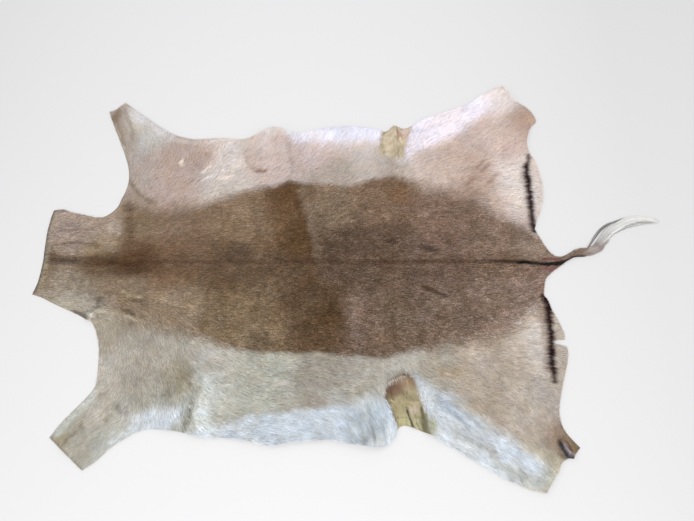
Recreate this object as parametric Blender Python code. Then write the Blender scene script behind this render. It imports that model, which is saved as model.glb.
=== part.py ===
"""A springbok hide, tanned with its hair on, laid flat with the hair side up.

The plan is drawn in millimetres: x runs along the spine from the neck (-) to the tail (+), y runs
across it, and the spine is y = 0. The finished hide stands on z = 0, centred on the origin.
"""
import math

import bpy
import numpy as np
from mathutils import Vector
from mathutils.geometry import delaunay_2d_cdt

MM = 0.001

# Driving sizes, in millimetres
SKIN_EDGE = 2.4          # height of the cut edge: bare skin and the first hairs
COAT = 4.6               # skin and lying coat, away from the edge
COAT_RISE = 16.0         # distance over which the coat rises from the edge to its full height
BELLY_COAT = 3.0         # extra depth of the long white belly hair
TAIL_COAT = 3.4          # extra height of the rolled skin of the tail
EDGE_STEP = 8.0          # spacing of points along the outline
GRID = 11.0              # spacing of surface points on the folds; flat ground has twice that
ROW_STEP = 0.87          # of that spacing, from row to row, so that the triangles are even
FOLD_RISE = 0.35         # least rise that counts as a fold
EDGE_ROOM = 0.55         # least distance of a surface point from the outline, in spacings
FLAT_EDGE_ROOM = 0.8     # and of one on flat ground
CLEAR = 0.3              # gap between the tail's skin and the tuft

# The tail's skin ends in a straight cut across the tail.
TAIL_END = np.array([437.5, 22.5])
TAIL_TURN = math.radians(28)                   # the tail's direction there, from +x
TAIL_END_HALF = 6.6
TAIL_ALONG = np.array([math.cos(TAIL_TURN), math.sin(TAIL_TURN)])
TAIL_ACROSS = np.array([-math.sin(TAIL_TURN), math.cos(TAIL_TURN)])
TAIL_CUT_NEAR = tuple(TAIL_END - TAIL_END_HALF * TAIL_ACROSS)
TAIL_CUT_FAR = tuple(TAIL_END + TAIL_END_HALF * TAIL_ACROSS)

# Outline, anticlockwise from the spine's neck end, one table a stretch.
# Columns: x, y, and "cut" where the edge turns sharply.
OUTLINE = {
    "neck cut, near half": [
        (-547, 0), (-549, -37), (-555, -61, "cut"),
    ],
    "neck, near side": [
        (-537, -67), (-515, -78), (-473, -97), (-459, -104), (-450, -110, "cut"),
        (-446, -101), (-442, -112), (-432, -130), (-424, -154), (-419, -202),
    ],
    "near foreleg": [
        (-419, -219), (-424, -234), (-448, -264), (-465, -284), (-481, -309, "cut"),
        (-454, -332), (-433, -350), (-421, -360, "cut"),
        (-401, -346), (-380, -325), (-363, -313), (-343, -301),
    ],
    "near belly": [
        (-322, -296), (-293, -297), (-270, -300), (-251, -305), (-227, -308), (-184, -311),
        (-148, -317), (-121, -322), (-101, -318), (-75, -315), (-45, -313), (-19, -313),
        (0, -318), (23, -322), (47, -325), (62, -322), (75, -311), (82, -297),
    ],
    "near thigh": [
        (92, -290), (108, -294), (143, -309), (180, -331), (224, -357), (248, -372),
        (272, -382), (291, -390), (312, -395, "cut"),
    ],
    "near hind leg": [
        (323, -379), (334, -364), (342, -349), (354, -342), (362, -343), (364, -337, "cut"),
        (375, -325, "cut"), (362, -310), (351, -293), (348, -274),
    ],
    "near rump lobe": [
        (351, -251), (360, -221), (367, -200), (372, -185), (376, -168, "cut"), (375, -157, "cut"),
        (350, -151, "cut"), (359, -145, "cut"), (373, -144, "cut"), (373, -132), (364, -106),
        (357, -90), (353, -74), (346, -63, "cut"),
    ],
    "tail, near side": [
        (349, -45), (353, -32), (363, -21), (376, -11), (391, 0), (409, 10), (429, 12),
        (*TAIL_CUT_NEAR, "cut"),
    ],
    "tail, far side": [
        (*TAIL_CUT_FAR, "cut"), (414, 25), (399, 17), (384, 11), (371, 16), (360, 31),
    ],
    "far rump lobe": [
        (351, 51), (344, 67, "cut"), (352, 88), (361, 109), (367, 130), (370, 158),
        (366, 192), (360, 217), (353, 229),
    ],
    "far hind leg": [
        (350, 246), (350, 261), (356, 280), (364, 294), (373, 303), (369, 320), (360, 334),
        (348, 344), (334, 356), (323, 377), (316, 391, "cut"),
    ],
    "far thigh": [
        (306, 389), (285, 374), (257, 356), (236, 341), (191, 324), (154, 309), (138, 300),
        (118, 289), (106, 288), (92, 290),
    ],
    "far flank": [
        (74, 280), (47, 286), (10, 290), (-28, 288), (-65, 282), (-92, 277), (-117, 275),
        (-126, 283), (-140, 287), (-154, 283), (-168, 274), (-188, 263), (-215, 262),
        (-244, 265), (-291, 262), (-315, 265),
    ],
    "far foreleg": [
        (-341, 274), (-368, 290), (-394, 310), (-423, 333), (-443, 348, "cut"),
        (-457, 332), (-472, 327, "cut"), (-466, 312), (-459, 295), (-443, 260), (-429, 228),
    ],
    "neck, far side": [
        (-418, 197), (-414, 168), (-419, 138), (-427, 114), (-441, 98), (-458, 91),
        (-486, 95), (-515, 102), (-530, 107), (-545, 106, "cut"),
    ],
    "neck cut, far half": [
        (-548, 86), (-549, 46), (-548, 20),
    ],
}

# Folds and swells of the skin. Columns: what it is, its route, half width, height.
FOLDS = [
    ("fold across the back", [(-112, 176), (-79, 129), (-45, 26), (-12, -71), (31, -160)], 30, 3.2),
    ("lifted edge of the far flank", [(-184, 270), (-148, 276), (-112, 266)], 24, 8.0),
    ("far flank ripple", [(-148, 276), (-140, 240), (-120, 205)], 22, 4.0),
    ("far belly edge", [(-60, 284), (0, 291), (60, 284)], 15, 3.0),
    ("far groin ridge", [(93, 300), (92, 255), (96, 214)], 13, 7.0),
    ("far groin, forward side", [(62, 284), (57, 250), (64, 214)], 14, 3.6),
    ("near foreleg fold", [(-242, -236), (-247, -262), (-244, -300), (-240, -320)], 16, 7.5),
    ("near shoulder swell", [(-282, -236), (-292, -268), (-290, -300)], 26, 3.4),
    ("shoulder crease", [(-267, -153), (-248, -197), (-243, -236)], 22, 3.2),
    ("near belly roll", [(30, -240), (52, -262), (60, -290), (40, -316), (5, -330)], 24, 9.0),
    ("near belly edge", [(-180, -306), (-121, -318), (-60, -310), (5, -318)], 20, 4.2),
    ("near groin, thigh side", [(92, -208), (121, -240), (131, -276), (140, -312)], 15, 6.5),
    ("near groin crease", [(88, -212), (98, -252), (108, -294)], 10, 3.6),
    ("curved rump crease", [(120, -40), (150, -57), (180, -66)], 14, 1.8),
    ("near thigh crease", [(220, -308), (232, -330), (250, -350)], 13, 3.0),
    ("near hock lip", [(344, -315), (354, -328), (366, -344)], 9, 6.0),
    ("near hock", [(318, -300), (335, -345), (316, -392)], 22, 3.6),
    ("far hock", [(330, 250), (345, 300), (318, 372)], 24, 4.2),
    ("far shin", [(-350, 262), (-400, 296), (-452, 334)], 22, 3.6),
    ("near shin", [(-352, -255), (-400, -290), (-454, -330)], 24, 3.4),
    ("neck, near pucker", [(-452, -112), (-436, -94), (-398, -70)], 14, 4.0),
    ("neck, second pucker", [(-410, -52), (-384, -66), (-360, -110)], 13, 2.6),
    ("neck, far whorl", [(-420, 128), (-400, 118), (-372, 128)], 16, 2.8),
    ("neck swell", [(-540, 62), (-480, 58), (-440, 70)], 22, 2.6),
    ("near rump lobe", [(346, -100), (350, -170), (342, -240)], 20, 3.0),
    ("far rump lobe", [(338, 90), (348, 150), (340, 210)], 20, 3.0),
]

# Long coat of the belly and thigh edges. Columns: route, half width.
LONG_COAT = [
    ([(-240, -300), (-120, -304), (0, -290), (55, -290)], 44),
    ([(120, -262), (200, -318), (300, -375)], 34),
    ([(-110, 276), (0, 280), (60, 276)], 26),
    ([(120, 262), (200, 310), (300, 372)], 30),
]

# The tail beyond the rump. Columns: x, y.
TAIL_SKIN = [(352, 2), (384, 3), (397, 8), (413, 17), tuple(TAIL_END)]
TAIL_HALF_WIDTH = 10.0
TUFT_ROUTE = [tuple(TAIL_END), (446, 27), (459, 41), (477, 58), (499, 73), (521, 83), (549, 88),
              (573, 84)]
# Columns: share of the tuft's length, half width
TUFT_SPREAD = [(0.0, 5.0), (0.12, 8.5), (0.3, 12.0), (0.5, 11.0), (0.75, 8.5), (0.92, 5.5),
               (1.0, 3.5)]
# The tuft's locks lie in layers. Columns: locks, height above the floor, root, end (shares)
TUFT_LAYERS = [(9, 0.2, 0.03, 0.93), (8, 3.1, 0.05, 1.0), (6, 5.9, 0.08, 0.84)]
TUFT_BACKING_END = 0.42
TUFT_BACKING = (5.0, 6.6)      # half width and height of the backing at its root
BACKING_TAPER = 0.62           # share of both that it loses by its end
LOCK_WIDTH, LOCK_HEIGHT = 2.3, 2.2
LOCK_TAPER = 0.78              # share of both that a lock loses by its tip
LOCK_FLOOR = 0.2               # least height of a lock's underside
LOCK_DROOP = 0.75              # share of a layer's height that a lock sinks by its tip
LOCK_STAGGER = 0.13            # difference in height between neighbours
LOCK_WAVE = 0.9                # sideways wave of a lock, in millimetres
LOCK_STEPS = 7


def material(name, colour, roughness):
    """A plain finish: its colour in linear values, and its roughness."""
    made = bpy.data.materials.new(name)
    made.use_nodes = True
    shader = made.node_tree.nodes["Principled BSDF"]
    shader.inputs["Base Color"].default_value = (*colour, 1.0)
    shader.inputs["Roughness"].default_value = roughness
    shader.inputs["Metallic"].default_value = 0.0
    return made


def spline(points, steps):
    """A smooth curve through the points, as steps short runs between each two of them."""
    points = [np.array(p, float) for p in points]
    ends = [2 * points[0] - points[1], *points, 2 * points[-1] - points[-2]]
    line = []
    for before, start, stop, after in zip(ends, ends[1:], ends[2:], ends[3:]):
        count = steps(start, stop)
        for k in range(count):
            t = k / count
            line.append(0.5 * (
                2 * start
                + (stop - before) * t
                + (2 * before - 5 * start + 4 * stop - after) * t * t
                + (3 * start - before - 3 * stop + after) * t * t * t
            ))
    return line + [points[-1]]


def outline():
    """The edge as a closed ring: smooth runs between the sharp turns, in even short steps."""
    rows = [row for stretch in OUTLINE.values() for row in stretch]
    first = next(i for i, row in enumerate(rows) if len(row) > 2)
    rows = rows[first:] + rows[:first + 1]
    ring, run = [], []

    def steps(start, stop):
        return max(1, round(float(np.linalg.norm(stop - start)) / EDGE_STEP))

    for row in rows:
        run.append(row[:2])
        if len(row) > 2 and len(run) > 1:
            ring += spline(run, steps)[:-1]
            run = [row[:2]]
    return np.array(ring)


def distance_to(route, points):
    """Each point's distance from a route of straight runs."""
    nearest = np.full(len(points), np.inf)
    for start, stop in zip(route, route[1:]):
        start, along = np.array(start, float), np.subtract(stop, start)
        share = np.clip((points - start) @ along / (along @ along), 0, 1)
        gap = np.linalg.norm(points - start - share[:, None] * along, axis=1)
        nearest = np.minimum(nearest, gap)
    return nearest


def bell(distance, half_width):
    """1 on the line, falling smoothly to 0 at half_width."""
    return 0.5 * (1 + np.cos(math.pi * np.clip(distance / half_width, 0, 1)))


def rise(points):
    """Height of the underside above the floor: 0 but for the folds."""
    height = np.zeros(len(points))
    for _, route, half_width, peak in FOLDS:
        curved = spline(route, lambda *_: 4)
        height = np.maximum(height, peak * bell(distance_to(curved, points), half_width))
    return height


def thickness(points, edge_distance):
    """Skin and coat: thin at the cut edge, deeper in long hair and on the rolled tail."""
    share = np.clip(edge_distance / COAT_RISE, 0, 1)
    share = share * share * (3 - 2 * share)
    depth = SKIN_EDGE + (COAT - SKIN_EDGE) * share
    for route, half_width in LONG_COAT:
        depth += BELLY_COAT * share * bell(distance_to(route, points), half_width)
    return depth + TAIL_COAT * bell(distance_to(TAIL_SKIN, points), TAIL_HALF_WIDTH)


def inside(ring, points):
    """Whether each point lies within the ring, by counting the edges to its right."""
    count = np.zeros(len(points), int)
    for (x0, y0), (x1, y1) in zip(ring, np.roll(ring, -1, axis=0)):
        if y0 == y1:
            continue
        crosses = (points[:, 1] < y0) != (points[:, 1] < y1)
        at = x0 + (points[:, 1] - y0) * (x1 - x0) / (y1 - y0)
        count += crosses & (at > points[:, 0])
    return count % 2 == 1


def surface_points(ring):
    """Points inside the outline on a staggered grid: fine on the folds, twice as wide elsewhere."""
    low, high = ring.min(axis=0), ring.max(axis=0)
    points, coarse = [], []
    for row in range(int((high[1] - low[1]) / (GRID * ROW_STEP)) + 1):
        for column in range(int((high[0] - low[0]) / GRID) + 2):
            across = low[0] + (column + 0.5 * (row % 2)) * GRID
            points.append((across, low[1] + row * GRID * ROW_STEP))
            coarse.append(row % 2 == 0 and column % 2 == row // 2 % 2)
    points, coarse = np.array(points), np.array(coarse)
    closed = np.vstack([ring, ring[:1]])
    from_edge = distance_to(closed, points)
    on_tail = distance_to(TAIL_SKIN, points) < TAIL_HALF_WIDTH
    folded = (rise(points) > FOLD_RISE) | (from_edge < COAT_RISE) & (rise(points) > 0)
    least = GRID * np.where(coarse & ~folded, FLAT_EDGE_ROOM, EDGE_ROOM)
    kept = inside(ring, points) & (coarse | folded | on_tail) & (from_edge > least)
    return points[kept]


def make_hide():
    """The sheet: one triangulated plan, used for the coat's surface and the underside."""
    ring = outline()
    inner = surface_points(ring)
    plan = [Vector(p) for p in np.vstack([ring, inner])]
    edges = [(i, (i + 1) % len(ring)) for i in range(len(ring))]
    flat, _, triangles, *_ = delaunay_2d_cdt(plan, edges, [], 1, 1e-5)
    flat = np.array([tuple(p) for p in flat])
    closed = np.vstack([ring, ring[:1]])
    bottom = rise(flat)
    top = bottom + thickness(flat, distance_to(closed, flat))
    count = len(flat)
    verts = [(x * MM, y * MM, z * MM) for (x, y), z in zip(flat, bottom)]
    verts += [(x * MM, y * MM, z * MM) for (x, y), z in zip(flat, top)]

    faces, borders = [], set()
    for a, b, c in triangles:
        (ax, ay), (bx, by), (cx, cy) = flat[a], flat[b], flat[c]
        if (bx - ax) * (cy - ay) < (cx - ax) * (by - ay):
            b, c = c, b
        faces += [(a + count, b + count, c + count), (a, c, b)]
        borders.update([(a, b), (b, c), (c, a)])
    for start, stop in sorted(borders):
        if (stop, start) not in borders:
            faces += [(start, stop, stop + count), (start, stop + count, start + count)]
    return add_object("hide", verts, faces)


def add_object(name, verts, faces):
    mesh = bpy.data.meshes.new(name)
    mesh.from_pydata(verts, [], faces)
    mesh.validate()
    made = bpy.data.objects.new(name, mesh)
    bpy.context.scene.collection.objects.link(made)
    return made


def tuft_frame():
    """The tuft's route as a function: a share of its length to a point and a sideways direction."""
    line = np.array(spline(TUFT_ROUTE, lambda *_: 8))
    reach = np.concatenate([[0], np.cumsum(np.linalg.norm(np.diff(line, axis=0), axis=1))])
    reach /= reach[-1]

    def at(share):
        point = np.array([np.interp(share, reach, line[:, k]) for k in (0, 1)])
        ahead = np.array([np.interp(min(share + 0.02, 1), reach, line[:, k]) for k in (0, 1)])
        behind = np.array([np.interp(max(share - 0.02, 0), reach, line[:, k]) for k in (0, 1)])
        along = (ahead - behind) / np.linalg.norm(ahead - behind)
        return point, np.array([-along[1], along[0]])

    return at


def tapered(name, sections):
    """A closed rod through four-sided sections. Each is a centre, sideways, half width, low, high."""
    verts, faces = [], []
    for (x, y), (sx, sy), half, low, high in sections:
        for side, z in ((-1, low), (1, low), (1, high), (-1, high)):
            verts.append(((x + side * half * sx) * MM, (y + side * half * sy) * MM, z * MM))
    for k in range(len(sections) - 1):
        for j in range(4):
            a, b = 4 * k + j, 4 * k + (j + 1) % 4
            faces += [(a, b + 4, a + 4), (a, b, b + 4)]
    last = len(verts) - 4
    faces += [(0, 2, 1), (0, 3, 2), (last, last + 1, last + 2), (last, last + 2, last + 3)]
    return add_object(name, verts, faces)


def make_backing(at):
    """The end of the tail's skin under its hair, flat below and tapering."""
    half, height = TUFT_BACKING
    sections = []
    for k in range(LOCK_STEPS + 1):
        share = k / LOCK_STEPS
        point, side = at(share * TUFT_BACKING_END)
        if k == 0:
            point, side = TAIL_END + CLEAR * TAIL_ALONG, TAIL_ACROSS
        shrink = 1 - BACKING_TAPER * share
        sections.append((point, side, half * shrink, 0.0, height * shrink))
    return tapered("tail_tuft", sections)


def make_locks(at):
    """Tapered locks in layers, rooted in the backing and splayed to the tuft's width."""
    shares, widths = zip(*TUFT_SPREAD)
    locks = []
    for layer, (count, floor, root, end) in enumerate(TUFT_LAYERS):
        for i in range(count):
            place = 2 * (i + 0.5) / count - 1
            start = root + 0.05 * ((i * 3 + layer) % 4) + 0.08 * (1 - abs(place))
            stop = end - 0.17 * ((i * 5 + layer * 2) % 7) / 6
            sections = []
            for k in range(LOCK_STEPS + 1):
                share = k / LOCK_STEPS
                along = start + (stop - start) * share
                point, side = at(along)
                spread = np.interp(along, shares, widths) - LOCK_WIDTH / 2
                settle = min(1.0, share * 2.5)
                wave = LOCK_WAVE * math.sin(9 * along + 2.1 * i + layer)
                offset = (place * spread + wave * share) * (0.25 + 0.75 * settle)
                thin = 1 - LOCK_TAPER * share ** 1.6
                droop = floor * (1 - LOCK_DROOP * share ** 2)
                low = max(droop, LOCK_FLOOR) + LOCK_STAGGER * ((i * 3 + layer) % 5)
                half = 0.5 * LOCK_WIDTH * thin
                sections.append((point + offset * side, side, half, low, low + LOCK_HEIGHT * thin))
            lock = tapered(f"lock_{layer}_{i}", sections)
            lock.hide_render = True
            lock.display_type = "WIRE"
            locks.append(lock)
    return locks


def make_tuft():
    """The locks joined to their backing, so that the tuft is one closed body."""
    at = tuft_frame()
    backing = make_backing(at)
    for lock in make_locks(at):
        join = backing.modifiers.new(lock.name, "BOOLEAN")
        join.operation = "UNION"
        join.solver = "MANIFOLD"
        join.object = lock
    return backing


def stand_on_origin(objects):
    """Moves the whole hide so that the middle of its box's underside is the origin."""
    bpy.context.view_layer.update()
    graph = bpy.context.evaluated_depsgraph_get()
    corners = np.array([
        tuple(made.matrix_world @ Vector(corner))
        for made in objects
        for corner in made.evaluated_get(graph).bound_box
    ])
    middle = (corners.min(axis=0) + corners.max(axis=0)) / 2
    base = bpy.data.objects.new("hide_base", None)
    bpy.context.scene.collection.objects.link(base)
    for made in [o for o in bpy.context.scene.objects if o.type == "MESH"]:
        made.parent = base
    base.location = (-middle[0], -middle[1], 0.0)
    print("hide: box middle was at", [round(float(v) / MM, 1) for v in middle])


def main():
    for old in list(bpy.data.objects):
        bpy.data.objects.remove(old)
    hide = make_hide()
    hide.data.materials.append(material("coat", (0.33, 0.25, 0.19), 0.72))
    tuft = make_tuft()
    tuft.data.materials.append(material("tail_hair", (0.62, 0.58, 0.53), 0.6))
    stand_on_origin([hide, tuft])
    print("hide:", len(hide.data.polygons), "triangles")


main()
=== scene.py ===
# %% [markdown]
# A springbok hide, dressed
#
# The hide is one tanned skin that lies flat with its hair up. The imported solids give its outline, its
# folds and the place of the tail's tuft. This script covers them with what the eye sees: a thin skin
# with bare patches and a suede underside, a coat of several hundred thousand short hairs, and the
# long loose hair of the tail. It starts with the frame and its box, because every later size hangs
# on them.

# %% Tools and the frame
import math

import bmesh
import bpy
import numpy as np
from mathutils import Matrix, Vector
from mathutils.bvhtree import BVHTree
from mathutils.geometry import delaunay_2d_cdt
from mathutils.kdtree import KDTree


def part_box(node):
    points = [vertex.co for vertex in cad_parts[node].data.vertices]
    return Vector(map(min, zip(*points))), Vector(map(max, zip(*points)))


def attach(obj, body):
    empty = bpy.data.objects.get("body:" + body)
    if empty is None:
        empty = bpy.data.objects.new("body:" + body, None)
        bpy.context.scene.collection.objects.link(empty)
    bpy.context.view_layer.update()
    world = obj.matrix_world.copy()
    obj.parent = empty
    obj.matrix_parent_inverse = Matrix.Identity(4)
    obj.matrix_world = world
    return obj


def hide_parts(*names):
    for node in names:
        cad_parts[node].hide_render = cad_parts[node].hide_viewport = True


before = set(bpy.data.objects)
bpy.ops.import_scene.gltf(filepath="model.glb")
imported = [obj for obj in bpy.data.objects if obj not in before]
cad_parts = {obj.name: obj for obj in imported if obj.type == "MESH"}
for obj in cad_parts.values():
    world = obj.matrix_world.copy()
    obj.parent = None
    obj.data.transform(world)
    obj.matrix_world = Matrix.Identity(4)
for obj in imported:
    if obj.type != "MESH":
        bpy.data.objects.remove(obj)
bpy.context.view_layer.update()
HIDE_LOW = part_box("hide")[0]

# %% [markdown]
# The plan's own measure
#
# A hide is easiest to describe as a tanner draws it: millimetres along the spine (x, from the neck to
# the tail) and across it (y). Two outline points tie that plan to the frame: the neck's near corner
# is the hide's lowest x, and the near shank's tip its lowest y.

# %% Plan and row coordinates
MM = 0.001
NECK_CORNER_X = -555.0
NEAR_SHANK_Y = -395.0
SHIFT_X = HIDE_LOW.x / MM - NECK_CORNER_X
SHIFT_Y = HIDE_LOW.y / MM - NEAR_SHANK_Y


def to_row(x, y, z):
    """Plan millimetres as row metres, one row of an array a point."""
    return np.stack([(x + SHIFT_X) * MM, (y + SHIFT_Y) * MM, z * MM], axis=-1)


def to_plan(points):
    """Row metres as plan millimetres."""
    points = np.asarray(points, float)
    return np.stack([points[..., 0] / MM - SHIFT_X, points[..., 1] / MM - SHIFT_Y], axis=-1)


def ease(t):
    """A soft step: 0 below 0, 1 above 1."""
    t = np.clip(t, 0.0, 1.0)
    return t * t * (3 - 2 * t)


def linear(colour):
    """A colour as the eye reads it off a screen, 0 to 255, as the linear values that light uses."""
    c = np.asarray(colour, float) / 255
    return np.where(c <= 0.04045, c / 12.92, ((c + 0.055) / 1.055) ** 2.4)


print("plan shift in mm", round(SHIFT_X, 2), round(SHIFT_Y, 2))

# %% [markdown]
# Camera, floor and light
#
# The photograph looks down at about two thirds of a right angle from a little over a metre up, with a
# normal lens. The legs of both sides come out alike when the picture is flattened from there, which is
# how the place was found. The light is a bright even surround and two large soft boxes, so folds show
# as soft shade and the edges throw almost no shadow. The floor carries painted shade: its colour is a
# little darker to both sides, as the light falls off there.

# %% Camera, floor and light
CAMERA_HEIGHT = 1.1439
CAMERA_BACK = 502.0          # plan millimetres on the near side of the spine
CAMERA_DOWN = 66.1           # degrees below the horizon
LENS = 36.0                  # on a sensor as wide, in millimetres
FLOOR_SIZE = 30.0
FLOOR_GREY = 0.567
FLOOR_SHADE_FADE = 2.4             # how fast the floor's painted shade darkens it to both sides of its lightest line
FLOOR_LIGHTEST = -0.1        # where that line is, in metres along the spine
SURROUND = 0.86


def add_camera():
    data = bpy.data.cameras.new("camera")
    data.lens, data.sensor_width = LENS, LENS
    made = bpy.data.objects.new("camera", data)
    made.location = Vector(to_row(0.0, -CAMERA_BACK, CAMERA_HEIGHT / MM))
    made.rotation_euler = (math.radians(90 - CAMERA_DOWN), 0, 0)
    bpy.context.scene.collection.objects.link(made)
    bpy.context.scene.camera = made


def add_softbox(name, place, target, size, power):
    data = bpy.data.lights.new(name, "AREA")
    data.shape, data.size, data.energy = "DISK", size, power
    made = bpy.data.objects.new(name, data)
    made.location = place
    made.rotation_euler = (Vector(target) - Vector(place)).to_track_quat("-Z", "Y").to_euler()
    bpy.context.scene.collection.objects.link(made)


def add_floor(finish):
    mesh = bpy.data.meshes.new("floor")
    half = FLOOR_SIZE / 2
    corners = [(-half, -half, 0), (half, -half, 0), (half, half, 0), (-half, half, 0)]
    mesh.from_pydata(corners, [], [(0, 1, 2, 3)])
    mesh.materials.append(finish)
    made = bpy.data.objects.new("floor", mesh)
    bpy.context.scene.collection.objects.link(made)


add_camera()
add_softbox("key", (0.2, -2.5, 4.1), (0, 0, 0), 1.4, 185)
add_softbox("fill", (-3.0, 1.5, 4.0), (0, 0, 0), 3.0, 25)
world = bpy.data.worlds.new("surround")
world.use_nodes = True
world.node_tree.nodes["Background"].inputs["Color"].default_value = (0.98, 0.99, 1.0, 1)
world.node_tree.nodes["Background"].inputs["Strength"].default_value = SURROUND
bpy.context.scene.world = world
bpy.context.scene.view_settings.view_transform = "Standard"

# %% [markdown]
# Shader sums
#
# Finishes are written as sums. A Wire is one socket that can be added, multiplied and so on; each
# operator adds one Math node. Every other node comes from Finish.node, which takes the node's type,
# its settings and what goes into its sockets.


# %% Wires and finishes
class Wire:
    """A number's socket that can be used in sums."""

    def __init__(self, finish, socket):
        self.finish, self.socket = finish, socket

    def math(self, operation, first, second):
        inputs = {0: first, 1: second}
        return self.finish.node("ShaderNodeMath", {"operation": operation}, inputs)

    def __add__(self, other):
        return self.math("ADD", self, other)

    def __sub__(self, other):
        return self.math("SUBTRACT", self, other)

    def __rsub__(self, other):
        return self.math("SUBTRACT", other, self)

    def __mul__(self, other):
        return self.math("MULTIPLY", self, other)

    __radd__, __rmul__ = __add__, __mul__


class Finish:
    """A material and the making of its nodes."""

    def __init__(self, name):
        self.material = bpy.data.materials.new(name)
        self.material.use_nodes = True
        self.tree = self.material.node_tree
        self.shader = self.tree.nodes["Principled BSDF"]

    def node(self, kind, settings=None, inputs=None, out=0):
        made = self.tree.nodes.new(kind)
        for key, value in (settings or {}).items():
            if key == "stops":
                set_stops(made.color_ramp, value)
            else:
                setattr(made, key, value)
        for key, value in (inputs or {}).items():
            self.plug(value, made.inputs[key])
        return Wire(self, made.outputs[out])

    def plug(self, value, socket):
        if isinstance(value, Wire):
            self.tree.links.new(value.socket, socket)
        else:
            socket.default_value = value

    def attribute(self, name, out="Fac"):
        return self.node("ShaderNodeAttribute", {"attribute_name": name}, out=out)

    def place(self):
        """The piece's own place, in metres."""
        return self.node("ShaderNodeTexCoord", out="Object")

    def noise(self, place, scale, detail=3.0, roughness=0.55):
        inputs = {"Vector": place, "Scale": scale, "Detail": detail, "Roughness": roughness}
        return self.node("ShaderNodeTexNoise", {"noise_dimensions": "3D"}, inputs, out="Fac")

    def stretched(self, place, scale):
        """A place measured in other units along each axis."""
        return self.node("ShaderNodeMapping", None, {"Vector": place, "Scale": scale})

    def mix(self, share, first, second, blend="MIX"):
        """Two colours mixed."""
        settings = {"data_type": "RGBA", "blend_type": blend}
        return self.node("ShaderNodeMix", settings, {0: share, 6: first, 7: second}, out=2)

    def bump(self, height, strength, distance):
        inputs = {"Height": height, "Strength": strength, "Distance": distance}
        return self.node("ShaderNodeBump", None, inputs)

    def surface(self, **sockets):
        for name, value in sockets.items():
            self.plug(value, self.shader.inputs[name.replace("_", " ")])
        return self.material


def set_stops(ramp, stops):
    """A ramp's stops: places and colours."""
    while len(ramp.elements) < len(stops):
        ramp.elements.new(0.5)
    for element, (at, colour) in zip(ramp.elements, stops):
        element.position, element.color = at, colour


def floor_finish():
    """A pale board with hardly any unevenness, with painted shade a little darker to both sides."""
    finish = Finish("floor_board")
    place = finish.place()
    x = finish.node("ShaderNodeSeparateXYZ", None, {0: place}) - FLOOR_LIGHTEST
    # painted shade: the board's colour is darker to both sides, where the light falls off
    side = x.math("MINIMUM", x * x * FLOOR_SHADE_FADE, 1.0)
    white, grey, edge = ((FLOOR_GREY * v, FLOOR_GREY * v * 0.993, FLOOR_GREY * v, 1)
                         for v in (1.0, 0.98, 0.9))
    board = finish.mix(finish.noise(place, 0.8, 2.0), white, grey)
    return finish.surface(Base_Color=finish.mix(side, board, edge), Roughness=0.9)


add_floor(floor_finish())

# %% [markdown]
# Outline and lie of the skin
#
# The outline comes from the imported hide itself: the ring of edges where its underside meets its
# upright rim. Rays shot up from below find how far the underside is lifted by a fold. Both go into
# rasters over the plan, because a raster can be read for a hundred thousand hairs at once.


# %% Rasters over the plan
RIM_STEP = 3.0               # step along the skin's own border, in millimetres
FINE_STEP = 0.5              # and along the border that distances are measured from
SHARP_TURN = 32.0            # from how many degrees on a turn of the border stays a corner
EDGE_GRID, LIFT_GRID = 1.0, 2.0  # spacings of the rasters for the border and for the lift
UPRIGHT = 0.02               # most slope of a face of the upright rim
FACING_DOWN = -0.3           # most z in the normal of a face of the underside
RAY_START = -5.0             # height from which rays are shot up
CARRY_ON = 8                 # how many grid points the lift is carried on past the outline


class Raster:
    """Values on a regular grid over the plan, read between its points."""

    MARGIN = 12.0

    def __init__(self, low, high, step):
        self.step = step
        self.low = np.floor(np.asarray(low) - self.MARGIN)
        self.shape = np.ceil((np.asarray(high) + self.MARGIN - self.low) / step).astype(int) + 1
        self.values = np.zeros(self.shape)

    def places(self):
        xs = self.low[0] + self.step * np.arange(self.shape[0])
        ys = self.low[1] + self.step * np.arange(self.shape[1])
        return np.meshgrid(xs, ys, indexing="ij")

    def read(self, x, y):
        u = np.clip((x - self.low[0]) / self.step, 0, self.shape[0] - 1.001)
        v = np.clip((y - self.low[1]) / self.step, 0, self.shape[1] - 1.001)
        i, j = u.astype(int), v.astype(int)
        u, v = u - i, v - j
        grid = self.values
        return (
            grid[i, j] * (1 - u) * (1 - v)
            + grid[i + 1, j] * u * (1 - v)
            + grid[i, j + 1] * (1 - u) * v
            + grid[i + 1, j + 1] * u * v
        )


def merged_copy(node):
    """A CAD node's mesh with its corners joined, as a bmesh."""
    made = bmesh.new()
    made.from_mesh(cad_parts[node].data)
    bmesh.ops.remove_doubles(made, verts=made.verts, dist=1e-6)
    made.normal_update()
    return made


def rim_of(solid):
    """The ring where the underside meets the upright rim, in plan millimetres, anticlockwise."""
    following = {}
    for edge in solid.edges:
        upright = [f for f in edge.link_faces if abs(f.normal.z) < UPRIGHT]
        under = [f for f in edge.link_faces if f.normal.z < FACING_DOWN]
        if upright and under:
            for loop in under[0].loops:
                if loop.edge == edge:
                    following[loop.link_loop_next.vert] = loop.vert
    start = next(iter(following))
    ring, at = [start], following[start]
    while at != start:
        ring.append(at)
        at = following[at]
    return to_plan([tuple(v.co) for v in ring])


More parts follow.
